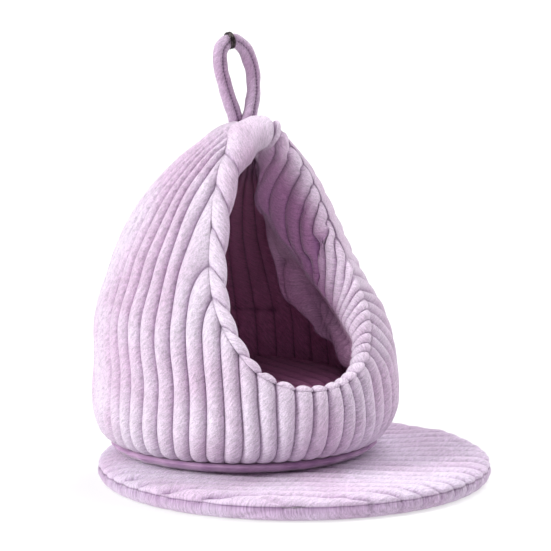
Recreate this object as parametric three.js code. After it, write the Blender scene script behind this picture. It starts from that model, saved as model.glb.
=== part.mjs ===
import * as THREE from "three";
import { mergeVertices } from "three/addons/utils/BufferGeometryUtils.js";

// Sizes in millimetres, +Z up, the mouth of the hut faces -Y.
const GAP = 0.3;
const MAT = { radius: 117.6, height: 14, seamHeight: 5, topEdge: 16, underEdge: 6 };
const MAT_RIBS = { pitch: 11.4, depth: 1.6, fan: 0.45, turnDeg: -30, steps: [0, 0.2, 0.5, 0.8], runs: 8 };
const HUT = { x: -19.6, y: 26.7, z: MAT.height + GAP };

// Ribs of the plush: how many go round the hut and where their lines stay upright.
const RIBS_AROUND = 53;
const RIB_DEPTH = 3;
const RIBS_PER_RADIAN = RIBS_AROUND / (2 * Math.PI);
const UPRIGHT_RIB = 14;
const UPRIGHT_ANGLE = UPRIGHT_RIB / RIBS_PER_RADIAN;
const BACK_RIB = RIBS_AROUND / 2;
const EXTRA_RIBS = [UPRIGHT_RIB - 0.15, UPRIGHT_RIB - 0.06, BACK_RIB];

// Depths below the crest of the outer ribs.
const COVER_INNER = 8;
const COVER_EDGE = 3.6;
const LINING_BACK = COVER_INNER + 0.6;
const LINING_GROOVE = 10.4;
const LINING_RIB = 2.4;
const ROLL_CENTRE = 5.6;
const ROLL_LOBE = 2;
const ROLL_CLEAR = 0.5;
const SKIRT_HEIGHT = 6.8;
const ROLL_STEPS = { along: 46, round: 10 };
const ROLL_SLANT = { pitch: 17, from: 52, full: 75, fade: 182, end: 195 };

// How a rib's section and its ends are rounded, and up to which height the wall's skins are set level.
const RIB_FULLNESS = 0.95;
const RIB_END = 5;
const LEVEL_SKINS = { below: 8, none: 45 };

// Steps of the tracing: along a rib, along the mouth seam, and the halvings of a search.
const RIB_TRACE = { stride: 0.5, points: 80 };
const SEAM_TRACE = 240;
const HALVINGS = 40;
const PROBE = 0.05;
const HEART = { x: 0, y: 5, z: 100 };

// Outline of the hut: radius of the level ring and how far its centre sits back from the axis.
const OUTLINE = [
  { height: 0, radius: 76, back: 0 },
  { height: 6, radius: 80.5, back: 0 },
  { height: 12, radius: 86, back: -1 },
  { height: 23, radius: 90.6, back: -2.5 },
  { height: 35, radius: 91.4, back: -3 },
  { height: 54, radius: 90, back: -2 },
  { height: 71, radius: 89, back: 1.2 },
  { height: 88, radius: 85.2, back: 5.4 },
  { height: 106, radius: 77.6, back: 9.9 },
  { height: 124, radius: 69.4, back: 12.5 },
  { height: 143, radius: 59.4, back: 11.1 },
  { height: 160, radius: 48.9, back: 7.2 },
  { height: 173, radius: 38.7, back: 2.3 },
  { height: 184, radius: 27.7, back: -2.4 },
  { height: 191, radius: 20.9, back: -4.5 },
  { height: 195, radius: 13.4, back: -4.5 },
  { height: 197, radius: 0, back: -3 },
].map((row) => ({ ...row, squared: row.radius ** 2 }));
const TOP = OUTLINE.at(-1).height;

// Share of the ribs that still run at each height; the others have met a seam below it.
const RIB_SHARE = [
  { height: 0, share: 1 },
  { height: 50, share: 1 },
  { height: 72, share: 0.94 },
  { height: 88, share: 0.888 },
  { height: 103, share: 0.82 },
  { height: 119, share: 0.72 },
  { height: 141, share: 0.62 },
  { height: 164, share: 0.52 },
  { height: 182, share: 0.42 },
  { height: 190, share: 0.32 },
  { height: 197, share: 0.04 },
];

// Seam round the mouth: angle from the front, and the width and thickness of the roll there.
const LIP = 49.5;
const MOUTH = [
  { height: 49.5, angleDeg: 0, width: 6, half: 4.2 },
  { height: 51, angleDeg: 9.5, width: 6, half: 4.2 },
  { height: 54.5, angleDeg: 16.5, width: 6.5, half: 4.5 },
  { height: 61, angleDeg: 24, width: 7, half: 5 },
  { height: 73, angleDeg: 30.6, width: 8.5, half: 5.5 },
  { height: 84, angleDeg: 34.8, width: 10, half: 6 },
  { height: 95, angleDeg: 37.6, width: 11, half: 6.3 },
  { height: 108, angleDeg: 39.6, width: 12, half: 6.5 },
  { height: 120, angleDeg: 40.4, width: 12.5, half: 6.5 },
  { height: 142, angleDeg: 42, width: 13.5, half: 6.5 },
  { height: 164, angleDeg: 46, width: 16, half: 6.5 },
  { height: 182, angleDeg: 53.5, width: 19, half: 6.5 },
  { height: 190, angleDeg: 60, width: 23, half: 6.5 },
  { height: 194, angleDeg: 70, width: 26, half: 6.5 },
  { height: 195.7, angleDeg: 80, width: 28, half: 6.5 },
  { height: 197, angleDeg: 90, width: 29, half: 6.5 },
].map((row) => ({ ...row, rise: Math.sqrt((row.height - LIP) / (TOP - LIP)) }));

// Centre line of the hanging loop, from its left foot to its right foot.
const LOOP = { thick: 8.6, y: 4, foot: 193.6, sides: 9, steps: 32 };
const LOOP_LINE = [
  { side: -5, height: 0 },
  { side: -5.6, height: 10.2 },
  { side: -7.4, height: 17.2 },
  { side: -9.6, height: 23.7 },
  { side: -11.6, height: 30.2 },
  { side: -13.1, height: 36.7 },
  { side: -13.3, height: 43.2 },
  { side: -12.6, height: 48.7 },
  { side: -9.8, height: 52.6 },
  { side: -5.6, height: 54 },
  { side: -0.8, height: 52.1 },
  { side: 3.2, height: 48 },
  { side: 6.6, height: 41.6 },
  { side: 8.6, height: 34.2 },
  { side: 9.1, height: 26.2 },
  { side: 8.4, height: 17.2 },
  { side: 6.4, height: 9.2 },
  { side: 5, height: 0 },
];
const RING = { bore: 5.5, wall: 1.5, wide: 3.2, at: 0.485, sides: 20 };
const RING_SECTION = [
  { out: 0, along: -0.5 },
  { out: 0.65, along: -0.5 },
  { out: 1, along: -0.26 },
  { out: 0.8, along: 0 },
  { out: 1, along: 0.26 },
  { out: 0.65, along: 0.5 },
  { out: 0, along: 0.5 },
];

const BAND_PROFILE = [
  { radius: 0, height: 0 },
  { radius: 71, height: 0 },
  { radius: 75.5, height: 0.9 },
  { radius: 78, height: 2.8 },
  { radius: 78.4, height: 4.6 },
  { radius: 77, height: 6.5 },
  { radius: 0, height: 6.5 },
];
const PAD = { radius: 75, height: 40, seamHeight: 17, topEdge: 26, underEdge: 20, y: -2.2, floor: 6.8 };
const PAD_RIBS = { pitch: 11.4, depth: 1.6, fan: 0, turnDeg: 90, steps: [0, 0.5], runs: 8 };

const FINISH = {
  plush: { color: 0xc4a0c8, roughness: 0.95, metalness: 0 },
  inside: { color: 0x8d6487, roughness: 0.95, metalness: 0 },
  band: { color: 0x9b6f97, roughness: 0.9, metalness: 0 },
  steel: { color: 0x3a3336, roughness: 0.4, metalness: 1 },
};

// Smooth curve through a table: value of one column at a place along another.
function level(rows, by, key, at) {
  const last = rows.length - 1;
  const place = Math.min(Math.max(at, rows[0][by]), rows[last][by]);
  let i = 0;
  while (i < last - 1 && place > rows[i + 1][by]) i += 1;
  const step = (k) => rows[k + 1][by] - rows[k][by];
  const rate = (k) => (rows[k + 1][key] - rows[k][key]) / step(k);
  const slope = (k) => {
    if (k === 0) return rate(0);
    if (k === last) return rate(last - 1);
    if (rate(k - 1) * rate(k) <= 0) return 0;
    return (rate(k - 1) * step(k) + rate(k) * step(k - 1)) / (step(k) + step(k - 1));
  };
  const t = (place - rows[i][by]) / step(i);
  const keep = (1 + 2 * t) * (1 - t) ** 2;
  const pull = t * (1 - t) * step(i);
  const bend = (1 - t) * slope(i) - t * slope(i + 1);
  return keep * rows[i][key] + (1 - keep) * rows[i + 1][key] + pull * bend;
}

// Halves a range until it closes on the place where a test turns true.
function firstTrue(test, from, to) {
  let low = from;
  let high = to;
  for (let i = 0; i < HALVINGS; i += 1) {
    const middle = (low + high) / 2;
    if (test(middle)) high = middle;
    else low = middle;
  }
  return low;
}

const ease = (from, to, at) => THREE.MathUtils.smoothstep(at, from, to);
const radiusAt = (height) => Math.sqrt(Math.max(0, level(OUTLINE, "height", "squared", height)));
const backAt = (height) => level(OUTLINE, "height", "back", height);
const riseAt = (height) => Math.sqrt(Math.max(0, (height - LIP) / (TOP - LIP)));
const mouthAngle = (height) => THREE.MathUtils.degToRad(level(MOUTH, "rise", "angleDeg", riseAt(height)));

// Outward direction of the wall; near the foot it is kept level.
function outward(angle, height) {
  const at = Math.min(Math.max(height, PROBE), TOP - PROBE);
  const rate = (key) => {
    const over = level(OUTLINE, "height", key, at + PROBE);
    return (over - level(OUTLINE, "height", key, at - PROBE)) / (2 * PROBE);
  };
  const radius = radiusAt(height);
  const tilt = ease(LEVEL_SKINS.below, LEVEL_SKINS.none, height);
  const up = (rate("back") * Math.cos(angle) * radius - rate("squared") / 2) * tilt;
  return new THREE.Vector3(Math.sin(angle) * radius, -Math.cos(angle) * radius, up).normalize();
}

function wallPoint(angle, height, inset) {
  const radius = radiusAt(height);
  const y = backAt(height) - Math.cos(angle) * radius;
  const point = new THREE.Vector3(Math.sin(angle) * radius, y, height);
  return point.addScaledVector(outward(angle, height), -inset);
}

// Height of a rib's round section, from 0 in the groove to 1 on the crest.
function ribRound(rib) {
  const off = Math.abs(rib - Math.round(rib)) * 2 * RIB_FULLNESS;
  const floor = Math.sqrt(1 - RIB_FULLNESS ** 2);
  return (Math.sqrt(1 - off * off) - floor) / (1 - floor);
}

const ribAngle = (rib, height) =>
  UPRIGHT_ANGLE + (rib - UPRIGHT_RIB) / (RIBS_PER_RADIAN * level(RIB_SHARE, "height", "share", height));
const ribAt = (angle, height) =>
  UPRIGHT_RIB + (angle - UPRIGHT_ANGLE) * RIBS_PER_RADIAN * level(RIB_SHARE, "height", "share", height);

// One rib line from the foot of the hut to where it meets the mouth seam or the back seam.
function ribLine(rib) {
  const from = SKIRT_HEIGHT;
  const ended = (height) => {
    const angle = ribAngle(rib, height);
    if (angle > Math.PI + 1e-6) return "back";
    if (height > LIP && angle < mouthAngle(height)) return "mouth";
    return "";
  };
  let past = from;
  while (past < TOP && !ended(past)) past = Math.min(TOP, past + RIB_TRACE.stride);
  const meets = ended(past) || "back";
  const end = firstTrue(ended, past - RIB_TRACE.stride, past);
  const line = Array.from({ length: RIB_TRACE.points + 1 }, (_, i) => {
    const height = from + ((end - from) * i) / RIB_TRACE.points;
    return { height, angle: Math.min(Math.PI, ribAngle(rib, height)), run: 0 };
  });
  for (let i = 1; i < line.length; i += 1) {
    const a = wallPoint(line[i - 1].angle, line[i - 1].height, 0);
    line[i].run = line[i - 1].run + a.distanceTo(wallPoint(line[i].angle, line[i].height, 0));
  }
  return { rib, meets, line, length: line.at(-1).run };
}

function placeOnLine(rib, share) {
  const run = Math.min(Math.max(share, 0), 1) * rib.length;
  let i = 1;
  while (i < rib.line.length - 1 && rib.line[i].run < run) i += 1;
  const a = rib.line[i - 1];
  const b = rib.line[i];
  const t = b.run > a.run ? (run - a.run) / (b.run - a.run) : 1;
  return { angle: a.angle + (b.angle - a.angle) * t, height: a.height + (b.height - a.height) * t };
}

// A closed body collected from triangles; points that meet are joined and flat slivers dropped.
class Body {
  constructor() {
    this.corners = [];
  }

  triangle(a, b, c) {
    this.corners.push(a.x, a.y, a.z, b.x, b.y, b.z, c.x, c.y, c.z);
  }

  quad(a, b, c, d) {
    this.triangle(a, b, c);
    this.triangle(a, c, d);
  }

  // Fills between two edges that start and end together; each point carries its place along the edge.
  strip(one, two) {
    let i = 0;
    let j = 0;
    while (i < one.length - 1 || j < two.length - 1) {
      const spent = j === two.length - 1;
      if (spent || (i < one.length - 1 && one[i + 1].place <= two[j + 1].place + 1e-6)) {
        this.triangle(one[i].point, one[i + 1].point, two[j].point);
        i += 1;
      } else {
        this.triangle(one[i].point, two[j + 1].point, two[j].point);
        j += 1;
      }
    }
  }

  mirrored() {
    const flip = (k) => [-this.corners[k], this.corners[k + 1], this.corners[k + 2]];
    const half = this.corners.length;
    for (let k = 0; k < half; k += 9) this.corners.push(...flip(k), ...flip(k + 6), ...flip(k + 3));
    return this;
  }

  geometry() {
    const loose = new THREE.BufferGeometry();
    loose.setAttribute("position", new THREE.Float32BufferAttribute(this.corners, 3));
    const joined = mergeVertices(loose, 2e-3);
    const index = [];
    for (let k = 0; k < joined.index.count; k += 3) {
      const [a, b, c] = [joined.index.getX(k), joined.index.getX(k + 1), joined.index.getX(k + 2)];
      if (a !== b && b !== c && a !== c) index.push(a, b, c);
    }
    joined.setIndex(index);
    joined.computeVertexNormals();
    return joined;
  }
}

function face(body, ribs, shares, pointAt, outside) {
  const grid = ribs.map((rib) => shares.map((share) => pointAt(rib, share)));
  for (let i = 1; i < ribs.length; i += 1) {
    for (let j = 1; j < shares.length; j += 1) {
      const [a, b, c, d] = [grid[i - 1][j - 1], grid[i][j - 1], grid[i][j], grid[i - 1][j]];
      if (outside) body.quad(a, b, c, d);
      else body.quad(a, d, c, b);
    }
  }
  const edge = (row) => ribs.map((rib, i) => ({ place: rib.rib, point: grid[i][row] }));
  const firstBack = ribs.findIndex((rib) => rib.meets === "back");
  return { foot: edge(0), mouth: edge(shares.length - 1).slice(0, firstBack + 1) };
}

// A hollow skin of the hut between an outer and an inner face, open at the mouth and at the foot.
function skin({ outer, inner }) {
  const body = new Body();
  const far = face(body, outer.ribs, outer.shares, outer.pointAt, true);
  const near = face(body, inner.ribs, inner.shares, inner.pointAt, false);
  body.strip(near.foot, far.foot);
  body.strip(far.mouth, near.mouth);
  return body.mirrored().geometry();
}

function ribLines(steps) {
  const ribs = new Set(EXTRA_RIBS);
  for (let whole = 0; whole < BACK_RIB; whole += 1) for (const step of steps) ribs.add(whole + step);
  const sorted = [...ribs].filter((rib) => rib <= BACK_RIB).sort((a, b) => a - b);
  return sorted.map((rib) => ribLine(rib));
}

// Full rib height along the middle of a line, falling off in a round end at the seams.
function endRound(rib, share) {
  const reach = Math.min(RIB_END, rib.length / 3);
  const near = Math.min(share, 1 - share) * rib.length;
  return Math.sqrt(Math.max(0, 1 - (1 - Math.min(1, near / reach)) ** 2));
}

function coverPoint(rib, share) {
  const { angle, height } = placeOnLine(rib, share);
  const raised = RIB_DEPTH * ribRound(rib.rib);
  const inset = COVER_EDGE - (COVER_EDGE - RIB_DEPTH + raised) * endRound(rib, share);
  return wallPoint(angle, height, inset);
}

function insetPoint(inset) {
  return (rib, share) => {
    const { angle, height } = placeOnLine(rib, share);
    return wallPoint(angle, height, inset);
  };
}

function liningPoint(rib, share) {
  const { angle, height } = placeOnLine(rib, share);
  return wallPoint(angle, height, LINING_GROOVE + LINING_RIB * ribRound(rib.rib) * endRound(rib, share));
}

const WALL_SHARES = [0, 0.06, 0.2, 0.36, 0.52, 0.68, 0.84, 0.95, 1];
const COVER_SHARES = [0, 0.035, 0.14, 0.3, 0.46, 0.62, 0.78, 0.93, 1];

function coverGeometry() {
  const outer = { ribs: ribLines([0, 0.3, 0.5, 0.7]), shares: COVER_SHARES, pointAt: coverPoint };
  const inner = { ribs: ribLines([0]), shares: WALL_SHARES, pointAt: insetPoint(COVER_INNER) };
  return skin({ outer, inner });
}

function liningGeometry() {
  const outer = { ribs: ribLines([0]), shares: WALL_SHARES, pointAt: insetPoint(LINING_BACK) };
  const inner = { ribs: ribLines([0, 0.5]), shares: WALL_SHARES, pointAt: liningPoint };
  return skin({ outer, inner });
}

// Drops a point that lies off the wall onto it, along a line from the heart of the hut.
function ontoWall(point) {
  const heart = new THREE.Vector3(HEART.x, HEART.y, HEART.z);
  const reach = point.clone().sub(heart);
  const outside = (scale) => {
    const at = heart.clone().addScaledVector(reach, scale);
    if (at.z >= TOP) return true;
    return Math.hypot(at.x, at.y - backAt(at.z)) > radiusAt(at.z);
  };
  const at = heart.clone().addScaledVector(reach, firstTrue(outside, 0.3, 2));
  return { angle: Math.atan2(at.x, backAt(at.z) - at.y), height: at.z };
}

// A place on the mouth seam, from the lip at 0 to the top at 1.
function seamPlace(rise) {
  const height = LIP + (TOP - LIP) * rise * rise;
  const angle = THREE.MathUtils.degToRad(level(MOUTH, "rise", "angleDeg", rise));
  return { rise, height, angle };
}

// Places along the right half of the mouth seam at even distances, from the lip to the top.
function mouthPlaces(count) {
  const fine = Array.from({ length: SEAM_TRACE + 1 }, (_, i) => seamPlace(i / SEAM_TRACE));
  const curve = new THREE.CatmullRomCurve3(fine.map((place) => wallPoint(place.angle, place.height, 0)));
  return Array.from({ length: count + 1 }, (_, i) => {
    const at = Math.min(1, curve.getUtoTmapping(i / count));
    const along = curve.getTangent(at);
    if (i === 0) along.set(1, 0, 0);
    if (i === count) along.set(-1, 0, 0);
    return { ...seamPlace(at), along };
  });
}

function rollGeometry() {
  const { along: alongSteps, round: roundSteps } = ROLL_STEPS;
  const rings = mouthPlaces(alongSteps).map(({ rise, height, angle, along }, k) => {
    const centred = k === 0 || k === alongSteps;
    const width = level(MOUTH, "rise", "width", rise);
    const half = level(MOUTH, "rise", "half", rise);
    const start = wallPoint(angle, height, 0);
    const inMouth = outward(angle, height).cross(along).normalize();
    const rising = ease(ROLL_SLANT.from, ROLL_SLANT.full, height);
    const slant = rising * (1 - ease(ROLL_SLANT.fade, ROLL_SLANT.end, height));
    return Array.from({ length: roundSteps }, (_, i) => {
      const turn = (2 * Math.PI * i) / roundSteps;
      const unrolled = ((turn + Math.PI) % (2 * Math.PI)) * ((width + half) / 2);
      const lobe = ribRound(ribAt(angle, height) - (slant * unrolled) / ROLL_SLANT.pitch);
      const trim = 1 - (ROLL_LOBE * (1 - lobe)) / half;
      const into = ROLL_CLEAR + (width / 2) * (1 + trim * Math.cos(turn));
      const { angle: a, height: h } = ontoWall(start.clone().addScaledVector(inMouth, into));
      const point = wallPoint(a, h, ROLL_CENTRE - half * trim * Math.sin(turn));
      if (centred) point.x = 0;
      return point;
    });
  });
  const body = new Body();
  for (let k = 1; k < rings.length; k += 1) {
    for (let i = 0; i < roundSteps; i += 1) {
      const j = (i + 1) % roundSteps;
      body.quad(rings[k - 1][j], rings[k][j], rings[k][i], rings[k - 1][i]);
    }
  }
  return body.mirrored().geometry();
}

// A round filled cushion with ribs across its top, flat underneath and sewn round its edge.
function cushionGeometry(size, ribs) {
  const body = new Body();
  const flat = size.radius;
  const count = Math.round(flat / ribs.pitch);
  const pitch = flat / (count + 0.5);
  const lines = [];
  for (let whole = -count - 1; whole <= count; whole += 1)
    for (const step of ribs.steps) lines.push(whole + 0.5 + step);
  const across = lines.filter((rib) => Math.abs(rib) < count + 0.5);
  const bowed = (rib, along) => {
    const side = rib * pitch;
    return side * (1 + ribs.fan * (along / flat) * (1 - (side / flat) ** 2));
  };
  const rim = (rib, sign) => sign * firstTrue((x) => Math.hypot(x, bowed(rib, sign * x)) > flat, 0, flat);
  const round = (off, edge) => Math.sqrt(Math.max(0, 1 - Math.max(0, (off - flat + edge) / edge) ** 2));
  const turn = THREE.MathUtils.degToRad(ribs.turnDeg);
  const put = (x, y, z) => new THREE.Vector3(x, y, z).applyAxisAngle(new THREE.Vector3(0, 0, 1), turn);
  const top = (rib, x, y) => {
    const fill = round(Math.hypot(x, y), size.topEdge);
    const groove = ribs.depth * (1 - ribRound(rib)) * fill;
    return put(x, y, size.seamHeight + (size.height - size.seamHeight) * fill - groove);
  };
  const under = (rib, x, y) => put(x, y, size.seamHeight * (1 - round(Math.hypot(x, y), size.underEdge)));
  const row = (rib, runs, raise) =>
    Array.from({ length: runs + 1 }, (_, i) => {
      const [from, to] = [rim(rib, -1), rim(rib, 1)];
      const x = (from + to) / 2 - ((to - from) / 2) * Math.cos((Math.PI * i) / runs);
      if (i === 0 || i === runs) return put(i ? to : from, bowed(rib, i ? to : from), size.seamHeight);
      return raise(rib, x, bowed(rib, x));
    });
  const ends = [put(0, -flat, size.seamHeight), put(0, flat, size.seamHeight)];
  for (const [raise, runs, up] of [[top, ribs.runs, true], [under, ribs.runs - 2, false]]) {
    const grid = across.map((rib) => row(rib, runs, raise));
    grid.unshift(Array(runs + 1).fill(ends[0]));
    grid.push(Array(runs + 1).fill(ends[1]));
    for (let i = 1; i < grid.length; i += 1) {
      for (let j = 1; j <= runs; j += 1) {
        const [a, b, c, d] = [grid[i - 1][j - 1], grid[i - 1][j], grid[i][j], grid[i][j - 1]];
        if (up) body.quad(a, b, c, d);
        else body.quad(d, c, b, a);
      }
    }
  }
  return body.geometry();
}

const lathed = (profile, sides) => {
  const points = profile.map((row) => new THREE.Vector2(row.radius, row.height));
  return new THREE.LatheGeometry(points, sides).rotateX(Math.PI / 2);
};

const loopPath = new THREE.CatmullRomCurve3(
  LOOP_LINE.map((row) => new THREE.Vector3(row.side, LOOP.y, LOOP.foot + row.height)),
);

function loopGeometry() {
  const round = new THREE.Shape(
    new THREE.EllipseCurve(0, 0, LOOP.thick / 2, LOOP.thick / 2).getPoints(LOOP.sides).slice(0, LOOP.sides),
  );
  return new THREE.ExtrudeGeometry(round, { steps: LOOP.steps, extrudePath: loopPath, curveSegments: 1 });
}

function ringGeometry() {
  const section = RING_SECTION.map(
    (row) => new THREE.Vector2(RING.bore + row.out * RING.wall, row.along * RING.wide),
  );
  section.push(section[0]);
  const ring = new THREE.LatheGeometry(section, RING.sides);
  const axis = loopPath.getTangentAt(RING.at);
  const lie = new THREE.Quaternion().setFromUnitVectors(new THREE.Vector3(0, 1, 0), axis);
  return ring.applyQuaternion(lie).translate(...loopPath.getPointAt(RING.at));
}

function piece(name, geometry, finish) {
  const mesh = new THREE.Mesh(geometry, new THREE.MeshStandardMaterial(FINISH[finish]));
  mesh.name = name;
  return mesh;
}

const hut = new THREE.Group();
hut.position.set(HUT.x, HUT.y, HUT.z);
hut.add(piece("cover", coverGeometry(), "plush"));
hut.add(piece("mouth_roll", rollGeometry(), "plush"));
hut.add(piece("lining", liningGeometry(), "inside"));
hut.add(piece("floor_pad", cushionGeometry(PAD, PAD_RIBS).translate(0, PAD.y, PAD.floor), "inside"));
hut.add(piece("base_band", lathed(BAND_PROFILE, 48), "band"));
hut.add(piece("hanging_loop", loopGeometry(), "plush"));
hut.add(piece("loop_ring", ringGeometry(), "steel"));

const part = new THREE.Group();
part.add(hut);
part.add(piece("mat", cushionGeometry(MAT, MAT_RIBS), "plush"));

export default part;
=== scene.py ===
"""Dressed scene of a ribbed plush bird hut that stands on a round ribbed mat.

Lengths are in millimetres while the pieces are shaped and in metres in Blender.
The hut's own frame has its axis upright and its mouth towards -Y.
"""

import logging
import math
from dataclasses import dataclass, field
from enum import Enum

import bpy
import numpy as np
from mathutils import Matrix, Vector

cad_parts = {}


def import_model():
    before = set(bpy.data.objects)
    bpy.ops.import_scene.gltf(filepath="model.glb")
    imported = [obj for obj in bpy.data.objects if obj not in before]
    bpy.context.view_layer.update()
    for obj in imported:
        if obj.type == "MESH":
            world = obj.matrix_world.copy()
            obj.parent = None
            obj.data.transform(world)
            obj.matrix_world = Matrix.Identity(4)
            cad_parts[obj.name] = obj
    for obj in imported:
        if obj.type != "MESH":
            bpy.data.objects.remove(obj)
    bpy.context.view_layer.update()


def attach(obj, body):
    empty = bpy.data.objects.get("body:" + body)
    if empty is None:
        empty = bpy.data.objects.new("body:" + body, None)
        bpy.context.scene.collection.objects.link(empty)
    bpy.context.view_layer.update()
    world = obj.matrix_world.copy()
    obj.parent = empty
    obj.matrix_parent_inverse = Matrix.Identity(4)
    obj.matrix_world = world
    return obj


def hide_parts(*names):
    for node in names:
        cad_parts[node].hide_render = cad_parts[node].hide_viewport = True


LOG = logging.getLogger("hut")
Grid = np.ndarray
Span = tuple[float, float]
Table = tuple[Span, ...]
Place = tuple[float, float, float]
Inputs = dict[str | int, object]
Socket = bpy.types.NodeSocket
MM = 0.001
TINY = 1e-6
BODY = "root"
# Centre of the hut's foot over the mat.
HUT_PLACE = np.array([-19.6, 26.7, 14.3])
# Length across the ribs that one unit of the cloth's map stands for.
CLOTH_UNIT = 11.4
# Length of one half of the mouth seam.
SEAM_RUN = 221.76


class Side(Enum):
    """The two halves of the hut, as someone sees them who looks into the mouth."""

    LEFT = -1.0
    RIGHT = 1.0


class Slot(Enum):
    """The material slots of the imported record."""

    PLUSH = "plush"
    INSIDE = "inside"
    BAND = "band"
    STEEL = "steel"


def ease(start: float, end: float, at: Grid) -> Grid:
    """Smooth step from 0 at start to 1 at end.

    Args:
        start: Place where the step begins.
        end: Place where the step is over.
        at: Places to read.

    Returns:
        Values from 0 to 1.
    """
    share = np.clip((np.asarray(at, float) - start) / (end - start), 0.0, 1.0)
    return share * share * (3.0 - 2.0 * share)


def bump_at(centre: float, reach: float, at: Grid) -> Grid:
    """Round hump of height 1 at a place, about 0 beyond twice its reach."""
    return np.exp(-(((np.asarray(at, float) - centre) / reach) ** 2))


def round_end(near: Grid, reach: float) -> Grid:
    """Quarter-round rise from 0 at an end to 1 where the reach is passed."""
    share = np.clip(np.asarray(near, float) / reach, 0.0, 1.0)
    return np.sqrt(np.clip(1.0 - (1.0 - share) ** 2, 0.0, 1.0))


def unit(vectors: Grid) -> Grid:
    """Vectors of length 1 along the last axis."""
    return vectors / np.linalg.norm(vectors, axis=-1, keepdims=True)


def length_along(points: Grid) -> Grid:
    """Length along a line of points up to each of them."""
    return np.concatenate([[0.0], np.cumsum(np.linalg.norm(np.diff(points, axis=0), axis=1))])


def resample(line: Grid, places: Grid, run: Grid) -> Grid:
    """Reads the columns of a line at given lengths along it.

    Args:
        line: One row of values per point.
        places: Lengths to read at.
        run: Length along the line up to each point.

    Returns:
        Values at the places.
    """
    return np.stack([np.interp(places, run, line[:, k]) for k in range(line.shape[1])], -1)


def rib_round(rib: Grid, fullness: float = 0.95) -> Grid:
    """Height of a rib's round section, 0 in the groove and 1 on the crest.

    Args:
        rib: Rib coordinates; whole numbers are crests.
        fullness: Share of a half circle that the section takes.

    Returns:
        Heights from 0 to 1.
    """
    off = np.abs(rib - np.round(rib)) * 2.0 * fullness
    floor = math.sqrt(1.0 - fullness**2)
    return (np.sqrt(np.clip(1.0 - off * off, 0.0, 1.0)) - floor) / (1.0 - floor)


def rib_columns(first: float, last: float, per_rib: int) -> Grid:
    """Rib coordinates of a grid's columns, close together in the grooves.

    Args:
        first: Lowest rib coordinate.
        last: Highest rib coordinate.
        per_rib: Columns from one groove to the next.

    Returns:
        Rising rib coordinates.
    """
    grooves = np.arange(math.floor(first - 0.5) + 0.5, last + 0.5, 1.0)
    steps = (1.0 - np.cos(np.pi * np.arange(per_rib) / per_rib)) / 2.0
    columns = (grooves[:, None] + steps[None, :]).ravel()
    inner = columns[(columns > first + TINY) & (columns < last - TINY)]
    return np.concatenate([[first], inner, [last]])


class Curve:
    """Smooth curve through a table of places and values."""

    def __init__(self, places: Grid, values: Grid) -> None:
        """Prepares the slopes; a turning point in the table stays a turning point.

        Args:
            places: Rising places.
            values: Value at each place.
        """
        self.places = np.asarray(places, float)
        self.values = np.asarray(values, float)
        self.steps = np.diff(self.places)
        rates = np.diff(self.values) / self.steps
        self.slopes = np.concatenate([[rates[0]], np.zeros(len(rates) - 1), [rates[-1]]])
        mixed = rates[:-1] * self.steps[1:] + rates[1:] * self.steps[:-1]
        mixed = mixed / (self.steps[1:] + self.steps[:-1])
        self.slopes[1:-1] = np.where(rates[:-1] * rates[1:] <= 0.0, 0.0, mixed)

    @classmethod
    def through(cls, table: Table) -> "Curve":
        """Curve through a table of pairs."""
        return cls(*np.array(table, float).T)

    def __call__(self, at: Grid) -> Grid:
        """Values at places, held at the table's ends.

        Args:
            at: Places to read.

        Returns:
            Values of the curve.
        """
        at = np.clip(at, self.places[0], self.places[-1])
        i = np.clip(np.searchsorted(self.places, at, side="right") - 1, 0, len(self.steps) - 1)
        t = (at - self.places[i]) / self.steps[i]
        keep = (1.0 + 2.0 * t) * (1.0 - t) ** 2
        bend = t * (1.0 - t) * self.steps[i] * ((1.0 - t) * self.slopes[i] - t * self.slopes[i + 1])
        return keep * self.values[i] + (1.0 - keep) * self.values[i + 1] + bend

    def rate(self, at: Grid, probe: float = 0.05) -> Grid:
        """Slope of the curve at places inside the table."""
        at = np.clip(at, self.places[0] + probe, self.places[-1] - probe)
        return (self(at + probe) - self(at - probe)) / (2.0 * probe)


@dataclass(frozen=True)
class Waver:
    """Seeded smooth unevenness of sewn cloth: a sum of plane waves through space."""

    seed: int
    wavelength: float
    amount: float
    waves: int = 9
    stretch: Span = (0.7, 1.5)

    def at(self, points: Grid) -> Grid:
        """Unevenness at points.

        Args:
            points: Points in millimetres, last axis x, y, z.

        Returns:
            Values that spread about as far as the amount.
        """
        dice = np.random.default_rng(self.seed)
        turns = unit(dice.normal(size=(self.waves, 3)))
        lengths = self.wavelength * dice.uniform(*self.stretch, self.waves)
        phases = dice.uniform(0.0, 2.0 * np.pi, self.waves)
        total = np.zeros(points.shape[:-1])
        for turn, length, phase in zip(turns, lengths, phases):
            total += np.sin(points @ (turn * (2.0 * np.pi / length)) + phase)
        return self.amount * (total / math.sqrt(self.waves / 2.0))


@dataclass(frozen=True)
class Fold:
    """Soft crease of loose cloth, drawn as a line in the view from the front left."""

    line: Table
    depth: float
    reach: float
    turn: float = -30.0
    tilt: float = 13.0

    def at(self, points: Grid) -> Grid:
        """Depth of the crease at points.

        Args:
            points: Points in millimetres.

        Returns:
            Depths in millimetres.
        """
        a, e = math.radians(self.turn), math.radians(self.tilt)
        right = np.array([math.cos(a), math.sin(a), 0.0])
        up = np.array([-math.sin(a) * math.sin(e), math.cos(a) * math.sin(e), math.cos(e)])
        seen = np.stack([points @ right, points @ up], -1)
        knots = np.array(self.line, float)
        near = np.full(points.shape[:-1], np.inf)
        for first, last in zip(knots[:-1], knots[1:]):
            step = last - first
            share = np.clip(((seen - first) @ step) / (step @ step), 0.0, 1.0)
            near = np.minimum(near, np.linalg.norm(seen - first - share[..., None] * step, axis=-1))
        return self.depth * bump_at(0.0, self.reach, near)


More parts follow.
